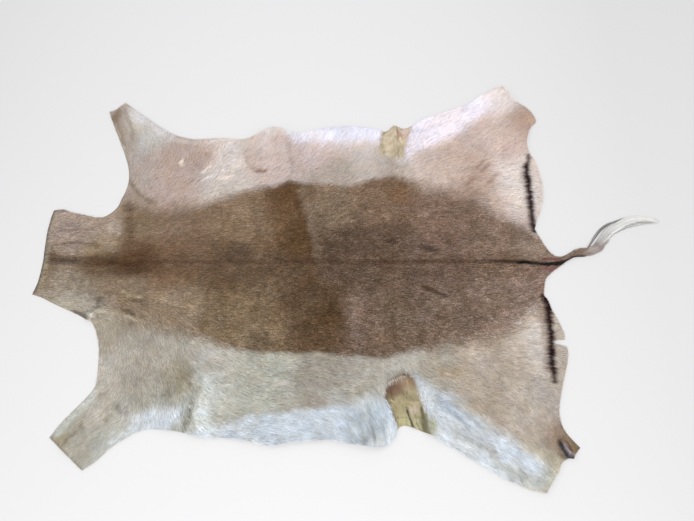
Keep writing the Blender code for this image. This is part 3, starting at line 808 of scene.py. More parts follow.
# Columns: what it is, route, half width, colour, cover
LINES = [
    ("spine shade", [(-330, -2), (-100, -6), (100, -6), (330, -4)], 34, (102, 82, 66), 0.4),
    ("spine, fore", [(-440, 0), (-330, 1)], 7, (80, 60, 46), 0.6),
    ("spine", [(-330, 1), (-190, 1), (-100, 2)], 6, (88, 68, 53), 0.5),
    ("spine, hind", [(-100, 2), (60, 1), (200, 2), (318, 2)], 6, (82, 62, 48), 0.65),
    ("neck, dark band", [(-542, 10), (-516, 5), (-480, 3), (-440, 0), (-400, -3)], 14,
     (90, 70, 55), 0.7),
    ("withers, dark", [(-450, -6), (-400, -4), (-356, 0)], 34, (86, 62, 43), 0.65),
    # painted shadow: the darker line beside the pale crescent stands for its shadow
    ("neck, crescent shade", [(-400, 84), (-394, 46), (-404, 20)], 12, (104, 83, 65), 0.6),
    ("neck, dark streak", [(-528, 6), (-508, 4), (-480, 3)], 5, (74, 62, 53), 0.7),
    ("neck root, dark streak", [(-424, -2), (-400, -4), (-368, -4)], 6, (72, 50, 34), 0.75),
    ("neck streak, far", [(-530, 34), (-490, 40), (-450, 32)], 4, (112, 92, 78), 0.6),
    ("neck streak, farther", [(-520, 62), (-470, 66), (-430, 84)], 3.5, (136, 116, 104), 0.5),
    ("neck streak, near", [(-540, -12), (-460, -14), (-410, -6)], 4, (118, 98, 78), 0.5),
    ("neck cut, pale", [(-538, 98), (-543, 60), (-542, 10), (-544, -40)], 3.5, (176, 168, 152), 0.7),
    ("neck cut, dark", [(-546, 104), (-548, 86), (-549, 46), (-548, 20), (-547, 0), (-549, -37),
                        (-555, -61)], 2.2, (84, 78, 66), 0.9),
    ("neck corner, dark", [(-542, 106), (-530, 108), (-518, 105)], 4, (92, 82, 70), 0.7),
    ("neck crack", [(-434, -70), (-432, -86)], 5, (92, 78, 62), 0.95),
    ("neck, pink streak", [(-409, -66), (-405, -84)], 3, (196, 176, 162), 0.8),
    ("neck tear, dark", [(-474, -93), (-462, -99), (-452, -105)], 4.5,
     (106, 96, 84), 0.85),
    ("neck tear, pale lip", [(-434, -96), (-427, -94), (-417, -94)], 3.4, (204, 196, 182), 0.8),
    # painted shadow under the neck's second pale lip
    ("neck second lip, dark", [(-388, -91), (-378, -95), (-370, -101)], 5, (96, 80, 63), 0.75),
    ("neck second lip, pale", [(-382, -103), (-374, -107), (-365, -110)], 3, (196, 184, 166), 0.9),
    ("neck tuft, pale", [(-393, -57), (-387, -62), (-380, -65)], 3.5, (198, 182, 146), 0.9),
    ("neck tuft, hind", [(-370, -65), (-362, -68)], 3.2, (188, 172, 140), 0.8),
    ("far foreleg, streak", [(-441, 329), (-428, 302), (-419, 279), (-418, 258)], 5,
     (140, 127, 114), 0.45),
    ("far foreleg, inner streak", [(-460, 314), (-444, 280), (-432, 250)], 4,
     (140, 122, 106), 0.55),
    ("far foreleg, fringe", [(-426, 332), (-400, 304), (-372, 284), (-340, 270)], 9,
     (214, 209, 209), 0.7),
    ("far shoulder, pale rim", [(-345, 262), (-296, 257), (-250, 259)], 7, (208, 198, 192), 0.7),
    ("near foreleg, pale rim", [(-470, -303), (-460, -288), (-446, -271), (-432, -256),
                                (-422, -240)], 9, (200, 203, 197), 0.75),
    # painted shadow along the near foreleg's cut edge
    ("near foreleg, cut", [(-478, -312), (-453, -334), (-428, -357), (-421, -362)], 4,
     (128, 120, 98), 0.8),
    ("near foreleg, olive streak", [(-458, -324), (-452, -311), (-442, -305)], 4,
     (124, 115, 94), 0.55),
    ("near foreleg, brown edge", [(-434, -286), (-429, -300)], 4, (120, 108, 90), 0.6),
    ("near foreleg, dark streak", [(-380, -254), (-377, -263), (-371, -272)], 4.5,
     (116, 105, 94), 0.55),
    ("near foreleg, second streak", [(-364, -262), (-360, -274)], 4, (124, 112, 100), 0.5),
    ("near foreleg, blue rim", [(-318, -283), (-344, -291), (-361, -303), (-382, -319)], 6,
     (204, 210, 213), 0.7),
    ("rump line, thin", [(262, 3), (290, 2), (314, 0)], 3.5, (68, 50, 40), 0.7),
    ("tail root, red", [(352, -12), (364, -14), (376, -10)], 5, (126, 84, 82), 0.85),
    ("tail root, dark red", [(353, 5), (368, 7), (383, 4)], 4.5, (120, 72, 68), 0.8),
    ("rump line", [(308, 0), (326, 1), (338, -2), (354, -4), (372, -3), (386, -2)], 5.0,
     (10, 7, 7), 1.0),
    ("tail line", [(380, -3), (395, 3), (408, 10), (420, 12), (438, 14)], 4.0, (22, 17, 18), 0.95),
    ("far stripe, feather", [(344, 206), (338, 180), (340, 140), (339, 100), (339, 76)], 8,
     (150, 126, 114), 0.5),
    ("far stripe, head", [(352, 226), (348, 212), (342, 198)], 5.8, (56, 24, 24), 1.0),
    ("far stripe", [(343, 200), (343, 184), (343, 170), (344, 144), (343, 117), (342, 90),
                    (344, 64)], 7.8, (34, 5, 7), 1.0),
    ("near stripe, feather", [(338, -84), (340, -127), (340, -160), (338, -196)], 8,
     (142, 120, 106), 0.5),
    ("near stripe, head", [(348, -66), (352, -84), (351, -110)], 10.5, (34, 7, 9), 1.0),
    ("near stripe", [(350, -90), (351, -127), (349, -154), (346, -184), (347, -202)], 8.6,
     (34, 8, 8), 1.0),
    ("near stripe, foot", [(346, -200), (347, -218)], 6.0, (46, 22, 18), 0.95),
    # painted shade and highlight at the foreleg fold: darker lines on its shaded side, a light line on
    # its lit side
    ("foreleg fold, dark", [(-254, -250), (-258, -264), (-255, -273), (-260, -284),
                            (-266, -300)], 3.6, (104, 101, 88), 0.75),
    ("foreleg fold, second", [(-267, -270), (-277, -284)], 3, (140, 142, 144), 0.7),
    ("foreleg fold, bright", [(-243, -250), (-246, -272), (-248, -300)], 7, (206, 208, 202), 0.7),
    ("whorl line", [(-411, 172), (-407, 160), (-390, 142), (-372, 127), (-356, 120)], 5,
     (130, 112, 95), 0.75),
    # painted shade along the far flank's fold line
    ("far fold line", [(-116, 262), (-110, 235), (-104, 205)], 5, (166, 144, 134), 0.6),
    # painted highlight and painted shade on the two flanks of the fold across the back
    ("fold, lit side", [(-84, 146), (-70, 98), (-60, 60), (-50, 10)], 13, (140, 121, 104), 0.5),
    ("fold, dark side", [(-96, 138), (-82, 92), (-70, 50), (-62, 4)], 8, (90, 66, 45), 0.6),
    ("fold, hind light", [(9, -66), (12, -100), (15, -134)], 11, (144, 124, 110), 0.4),
    # painted shade in the curved crease
    ("curved crease", [(134, -47), (150, -55), (164, -61), (173, -64)], 5.4, (72, 55, 44), 0.85),
    ("rump scratch", [(284, -135), (298, -128), (315, -121)], 2.2, (150, 124, 106), 0.7),
    ("flank scar", [(-118, -222), (-106, -219), (-95, -221)], 3, (206, 198, 190), 0.8),
    ("fur gap", [(263, 214), (248, 197)], 5.5, (152, 125, 111), 0.7),
    ("fur gap, second", [(273, 207), (256, 187)], 5.0, (154, 127, 113), 0.65),
    ("fur gap, third", [(288, 187), (270, 165)], 5.5, (156, 130, 115), 0.65),
    ("fur gap, last", [(244, 176), (226, 160)], 6, (154, 128, 112), 0.75),
    ("near thigh, blue streak", [(150, -240), (172, -267), (200, -296)], 5, (150, 160, 172), 0.6),
    ("near thigh, second streak", [(166, -250), (196, -272), (222, -298)], 4,
     (156, 160, 166), 0.55),
    ("near thigh, low streak", [(172, -300), (204, -316), (240, -336)], 4, (168, 166, 158), 0.55),
    ("near thigh, white streak", [(150, -304), (178, -316), (206, -330)], 6,
     (214, 216, 216), 0.6),
    ("roll streak", [(6, -292), (10, -318)], 3, (140, 146, 146), 0.65),
    ("roll streak, second", [(22, -290), (28, -318)], 3, (146, 152, 154), 0.6),
    ("roll streak, third", [(41, -290), (45, -319)], 3.4, (132, 140, 140), 0.65),
    ("roll streak, fourth", [(56, -284), (62, -312)], 3, (142, 148, 150), 0.6),
    ("roll streak, head", [(30, -252), (40, -270), (44, -286)], 4, (156, 162, 166), 0.5),
    ("shoulder scar", [(-319, 214), (-315, 203)], 3.4, (240, 226, 212), 1.0),
    ("rib scar", [(-276, 186), (-262, 202)], 3.5, (234, 222, 214), 0.95),
    ("rib scar, low", [(-274, 172), (-254, 179)], 3.5, (232, 220, 214), 0.95),
    ("rib scar, hind", [(-243, 176), (-220, 179)], 3.5, (232, 220, 214), 0.95),
    ("far hook", [(-196, 236), (-191, 212), (-180, 197), (-168, 190)], 4, (172, 150, 138), 0.75),
    ("far dash", [(-174, 190), (-154, 191)], 4, (132, 104, 90), 0.95),
    ("far hock, grey edge", [(353, 343), (364, 329), (370, 306)], 3.5, (158, 140, 128), 0.6),
    ("hock, red rim", [(343, -316), (349, -314), (355, -319), (361, -330)], 2.6, (88, 62, 58), 0.9),
    ("hock, dark tip", [(370, -332), (377, -324)], 4, (88, 82, 74), 0.8),
    ("hock, dark edge", [(350, -292), (361, -304), (372, -316), (378, -323)], 4,
     (104, 92, 82), 0.75),
    # painted shadow in the hock's slot
    ("hock, slot", [(343, -318), (347, -327), (355, -341)], 4.4, (8, 5, 6), 1.0),
    ("near bay, pale rim", [(-446, -118), (-434, -134), (-426, -160), (-422, -200)], 3,
     (196, 190, 178), 0.5),
]


DRIFT_X = [(3, 14, 31), (2, 5, 39)]  # how the borders of areas and patches stray
DRIFT_Y = [(3, 14, 32), (2, 5, 40)]


def covered(colour, share, tint):
    """A colour with a tint laid over it."""
    return colour * (1 - share[..., None]) + linear(tint) * share[..., None]


def coat_colour(x, y):
    """The coat's linear colour at points of the plan, before the unevenness of single hairs."""
    colour = mean_tint(GROUND, x, y)
    saddle = saddle_share(x, y)[..., None]
    colour = colour * (1 - saddle) + mean_tint(SADDLE_TINTS, x, y) * saddle
    wx, wy = noises(x, y, DRIFT_X, x), noises(x, y, DRIFT_Y, y)
    jx = x + 2.6 * noise(x / 3, y, 2.2, 37)  # a line has ragged sides, where hairs cross them
    jy = y + 1.6 * noise(x, y / 3, 2.6, 38)
    uneven = np.clip(0.85 + 0.4 * noise(x, y, 8, 43), 0, 1)
    for _, corners, soft, tint, cover in AREAS:
        colour = covered(colour, cover * area_share(wx, wy, corners, soft), tint)
    for _, px, py, long, wide, turn, tint, cover in PATCHES:
        share = cover * uneven * patch_share(wx, wy, (px, py), (long, wide), turn)
        colour = covered(colour, share, tint)
    for _, route, half_width, tint, cover in LINES:
        share = cover * ease(1.6 - 1.6 * route_distance(route, jx, jy) / half_width)
        colour = covered(colour, share, tint)
    return colour


# Columns: part of the bare skin, x, y, reach, colour
BARE_TINTS = [
    ("far groin, panel", 80, 256, 16, (204, 188, 162)),
    ("far groin, foot", 84, 222, 10, (190, 176, 148)),
    # painted highlight on the far groin's ridge and painted shade in the fold beside it
    ("far groin, ridge in painted highlight", 94, 272, 4, (218, 204, 182)),
    ("far groin, fold in painted shade", 102, 272, 5, (184, 154, 128)),
    ("far groin, pink side", 114, 278, 6, (210, 188, 174)),
    ("far groin, olive left", 68, 246, 6, (172, 162, 132)),
    ("far groin, olive right", 105, 238, 6, (190, 176, 144)),
    ("far groin, pale spot", 79, 227, 5, (216, 202, 182)),
    ("near groin, rust", 74, -227, 13, (112, 83, 58)),
    ("near groin, brown head", 100, -216, 11, (142, 117, 90)),
    ("near groin, dull side", 105, -236, 8, (158, 146, 112)),
    ("near groin, olive", 84, -256, 11, (164, 152, 116)),
    ("near groin, foot", 91, -284, 9, (176, 168, 126)),
    ("near groin, pale strip", 107, -267, 4, (190, 176, 154)),
    ("near groin, pale fold", 114, -290, 4, (176, 170, 136)),
    # olive skin in painted shade in the near groin's second pleat
    ("near groin, olive in painted shade", 124, -286, 4, (118, 112, 76)),
    ("near groin, last", 132, -292, 5, (124, 120, 92)),
    ("hock flap", 354, -326, 9, (112, 98, 104)),
    ("hock flap, end", 362, -342, 5, (58, 48, 64)),
]
# Columns: what it is, route, half width, colour, cover
BARE_LINES = [
    ("far left rim", [(73, 278), (64, 256), (58, 230), (56, 216)], 3, (150, 134, 110), 0.6),
    ("far top rim", [(73, 277), (87, 289), (100, 291), (109, 285)], 2.4, (164, 144, 116), 0.7),
    # painted shade in the far groin's fold
    ("far groin crease, painted shade", [(98, 288), (99, 276), (98, 260)], 1.8, (150, 124, 96), 0.85),
    ("far bright streak", [(104, 265), (106, 254)], 1.6, (238, 224, 192), 0.9),
    # painted shade in the lower part of the far groin's fold
    ("far groin crease foot, painted shade", [(99, 242), (99, 218)], 1.6, (152, 136, 108), 0.7),
    ("far foot line", [(72, 236), (71, 216)], 1.8, (148, 134, 108), 0.7),
    ("near head line", [(93, -207), (99, -208), (109, -210)], 2.4, (78, 58, 46), 0.9),
    ("near left shade", [(57, -230), (63, -244), (69, -257), (77, -275), (81, -290)], 4,
     (112, 100, 84), 0.7),
    ("near dark corner", [(59, -232), (67, -227)], 5, (84, 58, 40), 0.8),
    ("near rust crease", [(62, -234), (70, -229), (79, -224)], 2.6, (108, 70, 48), 0.75),
    ("near rust edge", [(66, -221), (78, -217), (88, -216)], 2.2, (120, 90, 62), 0.6),
    ("near rust streak", [(64, -231), (74, -239)], 1.8, (88, 60, 42), 0.6),
    ("near head streak", [(89, -214), (87, -228)], 1.6, (112, 84, 60), 0.6),
    ("near head light", [(100, -215), (102, -230)], 1.8, (172, 150, 116), 0.6),
    ("near hook", [(72, -244), (77, -248), (75, -252), (68, -254)], 1.4, (94, 84, 56), 0.85),
    ("near hook, light", [(73, -250), (78, -252)], 1.2, (214, 204, 160), 0.8),
    ("near pit", [(91, -234), (94, -242)], 1.6, (108, 90, 64), 0.8),
    ("near second pit", [(99, -233), (100, -238)], 1.5, (122, 102, 74), 0.75),
    ("near olive crease", [(84, -246), (92, -258), (94, -268)], 1.4, (146, 138, 98), 0.6),
    ("near cross crease", [(82, -277), (98, -278)], 1.3, (140, 134, 96), 0.7),
    # painted shade in the near groin's two pleats
    ("near pleat head, painted shade", [(97, -260), (100, -268)], 1.2, (112, 102, 70), 0.8),
    ("near pleat", [(99, -266), (102, -278), (108, -295)], 2.4, (44, 38, 26), 0.95),
    ("near strip edge", [(111, -272), (113, -284), (119, -300)], 1.4, (134, 122, 84), 0.75),
    ("near second pleat, painted shade", [(122, -262), (124, -276), (127, -302)], 3.4, (92, 88, 56), 0.85),
    ("hock flap, light", [(348, -320), (353, -327), (357, -333)], 2.2, (158, 144, 152), 0.85),
    # painted shadow in the hock's slot
    ("hock slot", [(343, -319), (348, -329), (356, -342)], 3.2, (6, 4, 4), 1.0),
]


def bare_share(x, y):
    """1 on bare skin: the two groins and the little flap at the near hock."""
    wx, wy = x + 2 * noise(x, y, 8, 33), y + 2 * noise(x, y, 8, 34)
    groins = np.maximum(area_share(wx, wy, FAR_GROIN, 2.5), area_share(wx, wy, NEAR_GROIN, 2.5))
    return np.maximum(groins, area_share(x, y, HOCK_FLAP, 1.5))


def skin_colour(x, y):
    """The leather's linear colour: its own where it is bare, elsewhere the coat's."""
    colour = mean_tint(BARE_TINTS, x, y)
    wx, wy = x + 0.8 * noise(x, y, 5, 35), y + 0.8 * noise(x, y, 5, 36)
    for _, route, half_width, tint, cover in BARE_LINES:
        distance = route_distance(route, wx, wy)
        colour = covered(colour, cover * ease(1.5 - 1.5 * distance / half_width), tint)
    bare = bare_share(x, y)[..., None]
    return colour * bare + coat_colour(x, y) * (1 - bare)


# %% [markdown]
# How the hair lies
#
# Hair runs from the neck to the tail along the back, and turns down the flanks and out along the
# legs. A comb table gives its direction and length at places over the body, and every hair takes the
# mean of the rows near it.

# %% The lie of the hair
# Columns: place, x, y, direction in degrees from the tail's side, hair length
COMB = [
    ("neck", -500, 0, 0, 13), ("neck, far", -500, 80, 4, 12), ("neck, near", -500, -80, -6, 12),
    ("withers", -400, 40, 6, 12), ("withers, near", -400, -50, -6, 12),
    ("back", -250, 0, 0, 12), ("mid back", -80, 0, 0, 12), ("loin", 80, 0, 0, 12),
    ("croup", 220, 0, 0, 12), ("back, far", -200, 100, 4, 12), ("back, near", -200, -100, -4, 12),
    ("loin, far", 60, 110, 5, 12), ("loin, near", 60, -110, -4, 12),
    ("croup, far", 220, 80, 4, 12), ("croup, near", 220, -80, -2, 12),
    ("tail root, far", 335, 40, -22, 10), ("tail root, near", 335, -35, 22, 10),
    ("tail", 384, 3, 8, 8), ("tail end", 425, 20, 24, 12),
    ("far chest", -412, 180, 62, 9), ("far forearm", -438, 262, 112, 8),
    ("far foreleg", -450, 318, 128, 7), ("far elbow", -395, 290, 126, 9),
    ("far shoulder", -330, 232, 84, 10), ("far shoulder foot", -320, 175, 40, 11),
    ("far ribs", -260, 230, 55, 11), ("far ribs, hind", -200, 220, 38, 12),
    ("far flank bulge", -140, 262, 60, 13), ("far flank", -80, 225, 40, 12),
    ("far flank, low", -60, 185, 16, 12), ("far belly", -40, 278, 76, 18),
    ("far belly, hind", 45, 276, 70, 18), ("far flank, hind", 40, 225, 42, 13),
    ("far groin", 95, 250, 84, 9), ("far stifle", 140, 215, 22, 12),
    ("far thigh, white", 160, 278, 36, 19), ("far thigh, tip", 280, 356, 36, 16),
    ("far thigh", 220, 230, 26, 12), ("far thigh, hind", 300, 260, 34, 11),
    ("far hock", 350, 312, 48, 8), ("far shank", 316, 372, 44, 8),
    ("far rump", 290, 150, 4, 12), ("far stripe", 345, 150, 0, 8), ("far lobe", 362, 150, 0, 9),
    ("near chest", -414, -170, -84, 9), ("near forearm", -410, -240, -112, 8),
    ("near foreleg", -440, -310, -132, 7), ("near foreleg, inner", -385, -320, -134, 9),
    ("near shoulder", -350, -190, -66, 10), ("near shoulder back", -295, -200, -60, 11),
    ("near elbow", -300, -262, -72, 12), ("near ribs", -225, -190, -26, 12),
    ("near ribs, low", -225, -250, -34, 13), ("near flank", -120, -210, -9, 12),
    ("near flank, hind", -10, -210, -9, 13), ("near belly, fore", -190, -298, -14, 19),
    ("near belly", -100, -295, -13, 22), ("near belly, hind", -20, -285, -30, 24),
    ("near belly roll", 40, -266, -72, 24), ("near belly roll, low", 56, -305, -80, 22),
    ("near groin", 100, -250, -82, 9), ("near stifle", 150, -215, -22, 12),
    ("near thigh, white", 190, -290, -38, 19), ("near thigh, tip", 270, -356, -36, 17),
    ("near thigh", 240, -235, -22, 12), ("near thigh, hind", 310, -280, -40, 11),
    ("near hock", 352, -318, -56, 6), ("near shank", 318, -376, -62, 9),
    ("near rump", 300, -150, -3, 12), ("near stripe", 352, -150, 0, 8),
    ("near lobe", 366, -130, 0, 9), ("near lobe, low", 356, -230, -14, 9),
]
COMB_REACH = 34.0


def comb(x, y):
    """Each hair's direction, in radians, and its length."""
    total, east, north, length = 1e-9, 0.0, 0.0, 0.0
    for _, cx, cy, angle, row_length in COMB:
        weight = 1 / (1 + ((x - cx) ** 2 + (y - cy) ** 2) / COMB_REACH**2) ** 3
        total = total + weight
        east = east + weight * math.cos(math.radians(angle))
        north = north + weight * math.sin(math.radians(angle))
        length = length + weight * row_length
    return np.arctan2(north, east), length / total


print(len(GROUND) + len(SADDLE_TINTS), "tints,", len(AREAS + PATCHES + LINES), "marks")

# %% [markdown]
# The skin
#
# Under the hair is leather about a millimetre and a half thick: a closed sheet whose underside
# follows the solid's folds. It is triangulated on the plan from its outline and a staggered grid,
# finer where it is bare or folded, because only there does it show. Its coat colour is kept as a
# point attribute, so the leather never flashes pale between two hairs.

# %% The skin's sheet
SKIN_GRID = 1.5              # spacing of its points where it is bare, twice that where it is folded
ROW_STEP = 0.866             # of that spacing, from row to row
CREASE_REACH = 1.6           # half widths from a crease to which the sheet is fine
TAIL_REACH = 12              # and millimetres from the tail's middle
LEAST_BARE = 0.02            # share of bare skin from which on it is finest
BORDER_ROOM = 0.55           # least distance of a point from the border, in spacings
ROLL_REACH = 9               # half width of the tail's roll


def grid_points(step):
    """A staggered grid over the plan: places, and how often each can be doubled, up to twice."""
    columns = int((PLAN_HIGH[0] - PLAN_LOW[0]) / step) + 2
    rows = int((PLAN_HIGH[1] - PLAN_LOW[1]) / (step * ROW_STEP)) + 2
    column, row = np.meshgrid(np.arange(columns), np.arange(rows), indexing="ij")
    x = PLAN_LOW[0] + (column + 0.5 * (row % 2)) * step
    y = PLAN_LOW[1] + row * step * ROW_STEP
    level = np.zeros(column.shape, int)
    for doubling in (1, 2):
        in_wider = (level == doubling - 1) & (row % 2 == 0) & (column % 2 == row // 2 % 2)
        level[in_wider] = doubling
        row = np.where(in_wider, row // 2, row)
        column = np.where(in_wider, column // 2, column)
    return x.ravel(), y.ravel(), level.ravel()


def skin_plan():
    """The sheet's points and triangles, flat."""
    x, y, level = grid_points(SKIN_GRID)
    needed = np.full(len(x), 2)
    for _, route, half_width, _ in CREASES:
        needed[route_distance(route, x, y) < CREASE_REACH * half_width] = 1
    needed[route_distance(TAIL_ROUTE, x, y) < TAIL_REACH] = 1
    needed[bare_share(x, y) > LEAST_BARE] = 0
    kept = (level >= needed) & (EDGE.read(x, y) > BORDER_ROOM * SKIN_GRID * 2.0**needed)
    points = np.vstack([RIM, np.stack([x[kept], y[kept]], axis=1)])
    edges = [(i, (i + 1) % len(RIM)) for i in range(len(RIM))]
    flat, _, triangles, *_ = delaunay_2d_cdt([Vector(p) for p in points], edges, [], 1, 1e-6)
    flat = np.array([tuple(p) for p in flat])
    triangles = np.array([tuple(t) for t in triangles])
    a, b, c = (flat[triangles[:, k]] for k in range(3))
    turned = (b[:, 0] - a[:, 0]) * (c[:, 1] - a[:, 1]) < (c[:, 0] - a[:, 0]) * (b[:, 1] - a[:, 1])
    triangles[turned] = triangles[turned][:, ::-1]
    return flat, triangles


def rolled(x, y):
    """How far the tail's skin is rolled up."""
    return TAIL_ROLL * bell(route_distance(TAIL_ROUTE, x, y), ROLL_REACH)


def skin_top(x, y):
    """The leather's upper side, where hair roots."""
    return lift_of(x, y) + SKIN + rolled(x, y)


def border_edges(triangles):
    """The edges that only one triangle has, in its own direction."""
    edges = np.vstack([triangles[:, [0, 1]], triangles[:, [1, 2]], triangles[:, [2, 0]]])
    key = np.sort(edges, axis=1)
    _, inverse, counts = np.unique(key, axis=0, return_inverse=True, return_counts=True)
    return edges[counts[inverse.ravel()] == 1]


def add_piece(name, verts, faces, materials=()):
    """An object of its own from points and faces."""
    mesh = bpy.data.meshes.new(name)
    mesh.from_pydata(np.asarray(verts).tolist(), [], np.asarray(faces).tolist())
    for material in materials:
        mesh.materials.append(material)
    made = bpy.data.objects.new(name, mesh)
    bpy.context.scene.collection.objects.link(made)
    return made


def set_attribute(mesh, name, kind, values):
    """A value for every point of a mesh."""
    field = {"FLOAT": "value", "FLOAT_COLOR": "color", "FLOAT_VECTOR": "vector"}[kind]
    made = mesh.attributes.new(name, kind, "POINT")
    made.data.foreach_set(field, np.asarray(values, np.float32).ravel())


def with_alpha(colour):
    """Colours with a full fourth number."""
    return np.concatenate([colour, np.ones((len(colour), 1))], axis=1)


def make_skin(materials):
    """The closed sheet with its finishes: grain side, suede side and cut edge."""
    flat, triangles = skin_plan()
    x, y = flat[:, 0], flat[:, 1]
    bottom, top = lift_of(x, y), skin_top(x, y)
    count = len(flat)
    border = border_edges(triangles)
    rim = np.vstack([
        np.stack([border[:, 0], border[:, 1], border[:, 1] + count], axis=1),
        np.stack([border[:, 0], border[:, 1] + count, border[:, 0] + count], axis=1),
    ])
    verts = np.vstack([to_row(x, y, bottom), to_row(x, y, top)])
    faces = np.vstack([triangles + count, triangles[:, ::-1], rim])
    made = add_piece("skin", verts, faces, materials)
    slots = np.repeat([0, 1, 2], [len(triangles), len(triangles), len(rim)])
    made.data.polygons.foreach_set("material_index", slots.astype(np.int32))
    smooth = np.repeat([True, True, False], [len(triangles), len(triangles), len(rim)])
    made.data.polygons.foreach_set("use_smooth", smooth)
    colour = with_alpha(skin_colour(x, y))
    set_attribute(made.data, "coat", "FLOAT_COLOR", np.vstack([colour, colour]))
    bare = bare_share(x, y)
    set_attribute(made.data, "bare", "FLOAT", np.concatenate([bare, bare]))
    print("skin", len(verts), "points", len(faces), "triangles")
    return made


# %% [markdown]
# Leather finishes
#
# The hair side of the leather shows only at the groins, where it is thin and parchment-like with fine
# creases. Elsewhere it is the coat's own colour in painted shade, darkened as the shade between roots
# would darken it. The underside is napped suede, and the cut edge pale and fibrous.


# %% Leather finishes
def grain_finish():
    """The hair side: parchment with pleats and stains where it is bare, elsewhere the coat's colour
    darkened as painted shade.
    """
    finish = Finish("skin_grain")
    place = finish.place()
    coat = finish.attribute("coat", "Color")
    bare = finish.attribute("bare")
    pleats = finish.noise(finish.stretched(place, (1.0, 0.3, 1.0)), 420.0, 4.0, 0.6)
    stains = finish.noise(place, 130.0, 4.0, 0.6)
    tone = finish.node("ShaderNodeValToRGB", {"stops": [
        (0.3, (0.46, 0.44, 0.4, 1)), (0.5, (0.68, 0.67, 0.66, 1)), (0.7, (0.8, 0.8, 0.8, 1)),
    ]}, {"Fac": pleats * 0.5 + stains * 0.5})
    skin = finish.mix(1.0, coat, tone, "MULTIPLY")
    # painted shade: under the coat the leather takes the coat's colour, darkened for the shade between
    # roots
    coat_in_painted_shade = finish.mix(1.0, coat, (0.62, 0.6, 0.58, 1), "MULTIPLY")
    height = pleats * 0.7 + finish.noise(place, 900.0, 2.0) * 0.3
    return finish.surface(
        Base_Color=finish.mix(bare, coat_in_painted_shade, skin),
        Roughness=0.62 - bare * 0.12 + stains * 0.1,
        Normal=finish.bump(height, 0.5, 0.0012),
    )


def suede_finish():
    """The napped flesh side, cloudy as suede is."""
    finish = Finish("skin_suede")
    place = finish.place()
    cloud = finish.noise(place, 9.0, 4.0, 0.6)
    nap = finish.noise(place, 700.0, 3.0, 0.7)
    tone = finish.node("ShaderNodeValToRGB", {"stops": [
        (0.3, (0.50, 0.43, 0.34, 1)), (0.55, (0.66, 0.60, 0.50, 1)), (0.75, (0.76, 0.72, 0.64, 1)),
    ]}, {"Fac": cloud * 0.75 + nap * 0.25})
    return finish.surface(
        Base_Color=tone, Roughness=0.86 + nap * 0.1, Normal=finish.bump(nap, 0.6, 0.0006))


def cut_edge_finish():
    """The cut through the leather, half its own fibres and half the coat's colour."""
    finish = Finish("skin_cut_edge")
    place = finish.place()
    fibre = finish.noise(place, 1400.0, 3.0, 0.7)
    coat = finish.attribute("coat", "Color")
    pale = finish.mix(fibre, (0.36, 0.31, 0.26, 1), (0.62, 0.57, 0.50, 1))
    return finish.surface(
        Base_Color=finish.mix(0.5, pale, coat), Roughness=0.8 + fibre * 0.15,
        Normal=finish.bump(fibre, 0.5, 0.0004))


skin = make_skin([grain_finish(), suede_finish(), cut_edge_finish()])

# %% [markdown]
# The coat
#
# Each hair is a kite of two triangles, bent at its widest place: the fewest faces that still taper at
# both ends and catch the light like a lying hair. numpy chooses where hairs root, how they lie and
# what colour they are; a Geometry Nodes tree sets a kite on every root and makes the result real.
# Colour changes along a hair too, darker at the root: partly as a springbok's hair is, partly painted
# shade for the depth of the coat.

# %% Roots of the coat
ROOT_STEP = 1.27             # spacing of roots
ROOT_JITTER = 0.55           # of that spacing
HAIR_WIDTH = 0.62            # widest place of a hair at full size
HAIR_LIFT = 0.21             # a tip's height as a share of the hair's length
HAIR_LENGTHS = (0.7, 1.2)    # least and most length of a hair, as shares of the comb's
HAIR_STRAY = 0.13            # how far a hair strays from its neighbours' lie, in radians
RUFFLE = [(0.16, 20, 41), (0.14, 6, 42)]  # and how far whole locks do
OVERHANG = 1.6               # how far a tip may pass the skin's edge
LEAST_HAIR = 2.0             # a hair that comes out shorter than this is left out
BARE_GAIN = 1.02             # so that nothing roots where the skin is quite bare
TICK_SCALE = 420.0           # fine light and dark ticks, so many to a metre
TICK_GAIN = 2.05
ROOT_AT, TIP_AT = 0.3, 0.9   # where along a hair its two colours are taken from the plan
COAT_PIECES = ["coat_near_edge", "coat_near_flank", "coat_spine", "coat_far_flank", "coat_far_edge"]


def hair_roots():
    """Every root of the coat: place, lie, size and colour."""
    rng = np.random.default_rng(7)
    x, y, _ = grid_points(ROOT_STEP)
    x = x + rng.uniform(-1, 1, len(x)) * ROOT_JITTER * ROOT_STEP
    y = y + rng.uniform(-1, 1, len(y)) * ROOT_JITTER * ROOT_STEP
    kept = (EDGE.read(x, y) > 0.5) & (rng.uniform(0, 1, len(x)) > bare_share(x, y) * BARE_GAIN)
    x, y = x[kept], y[kept]
    angle, length = comb(x, y)
    angle = angle + noises(x, y, RUFFLE) + rng.normal(0, HAIR_STRAY, len(x))
    length = length * rng.uniform(*HAIR_LENGTHS, len(x))
    most = OVERHANG * rng.uniform(0.2, 1.3, len(x))
    for _ in range(5):  # a tip that passes the edge draws the hair in
        past = -EDGE.read(x + length * np.cos(angle), y + length * np.sin(angle)) - most
        length = length - np.maximum(past, 0)
    kept = length > LEAST_HAIR
    return x[kept], y[kept], angle[kept], length[kept], rng


# How much each kind of unevenness lightens or darkens a hair
GRAIN, LOCK, MOTTLE, SLOW = 0.06, 0.08, 0.13, 0.10
MOTTLES = [(1.0, 9, 53), (0.8, 4.5, 54)]
SLOW_WAVES = [(1.0, 45, 55), (1.2, 22, 58)]
WARMTH = [(0.02, 30, 56), (0.02, 12, 59)]
DARKEST, LIGHTEST = 0.4, 1.9  # as shares of the plan's colour there


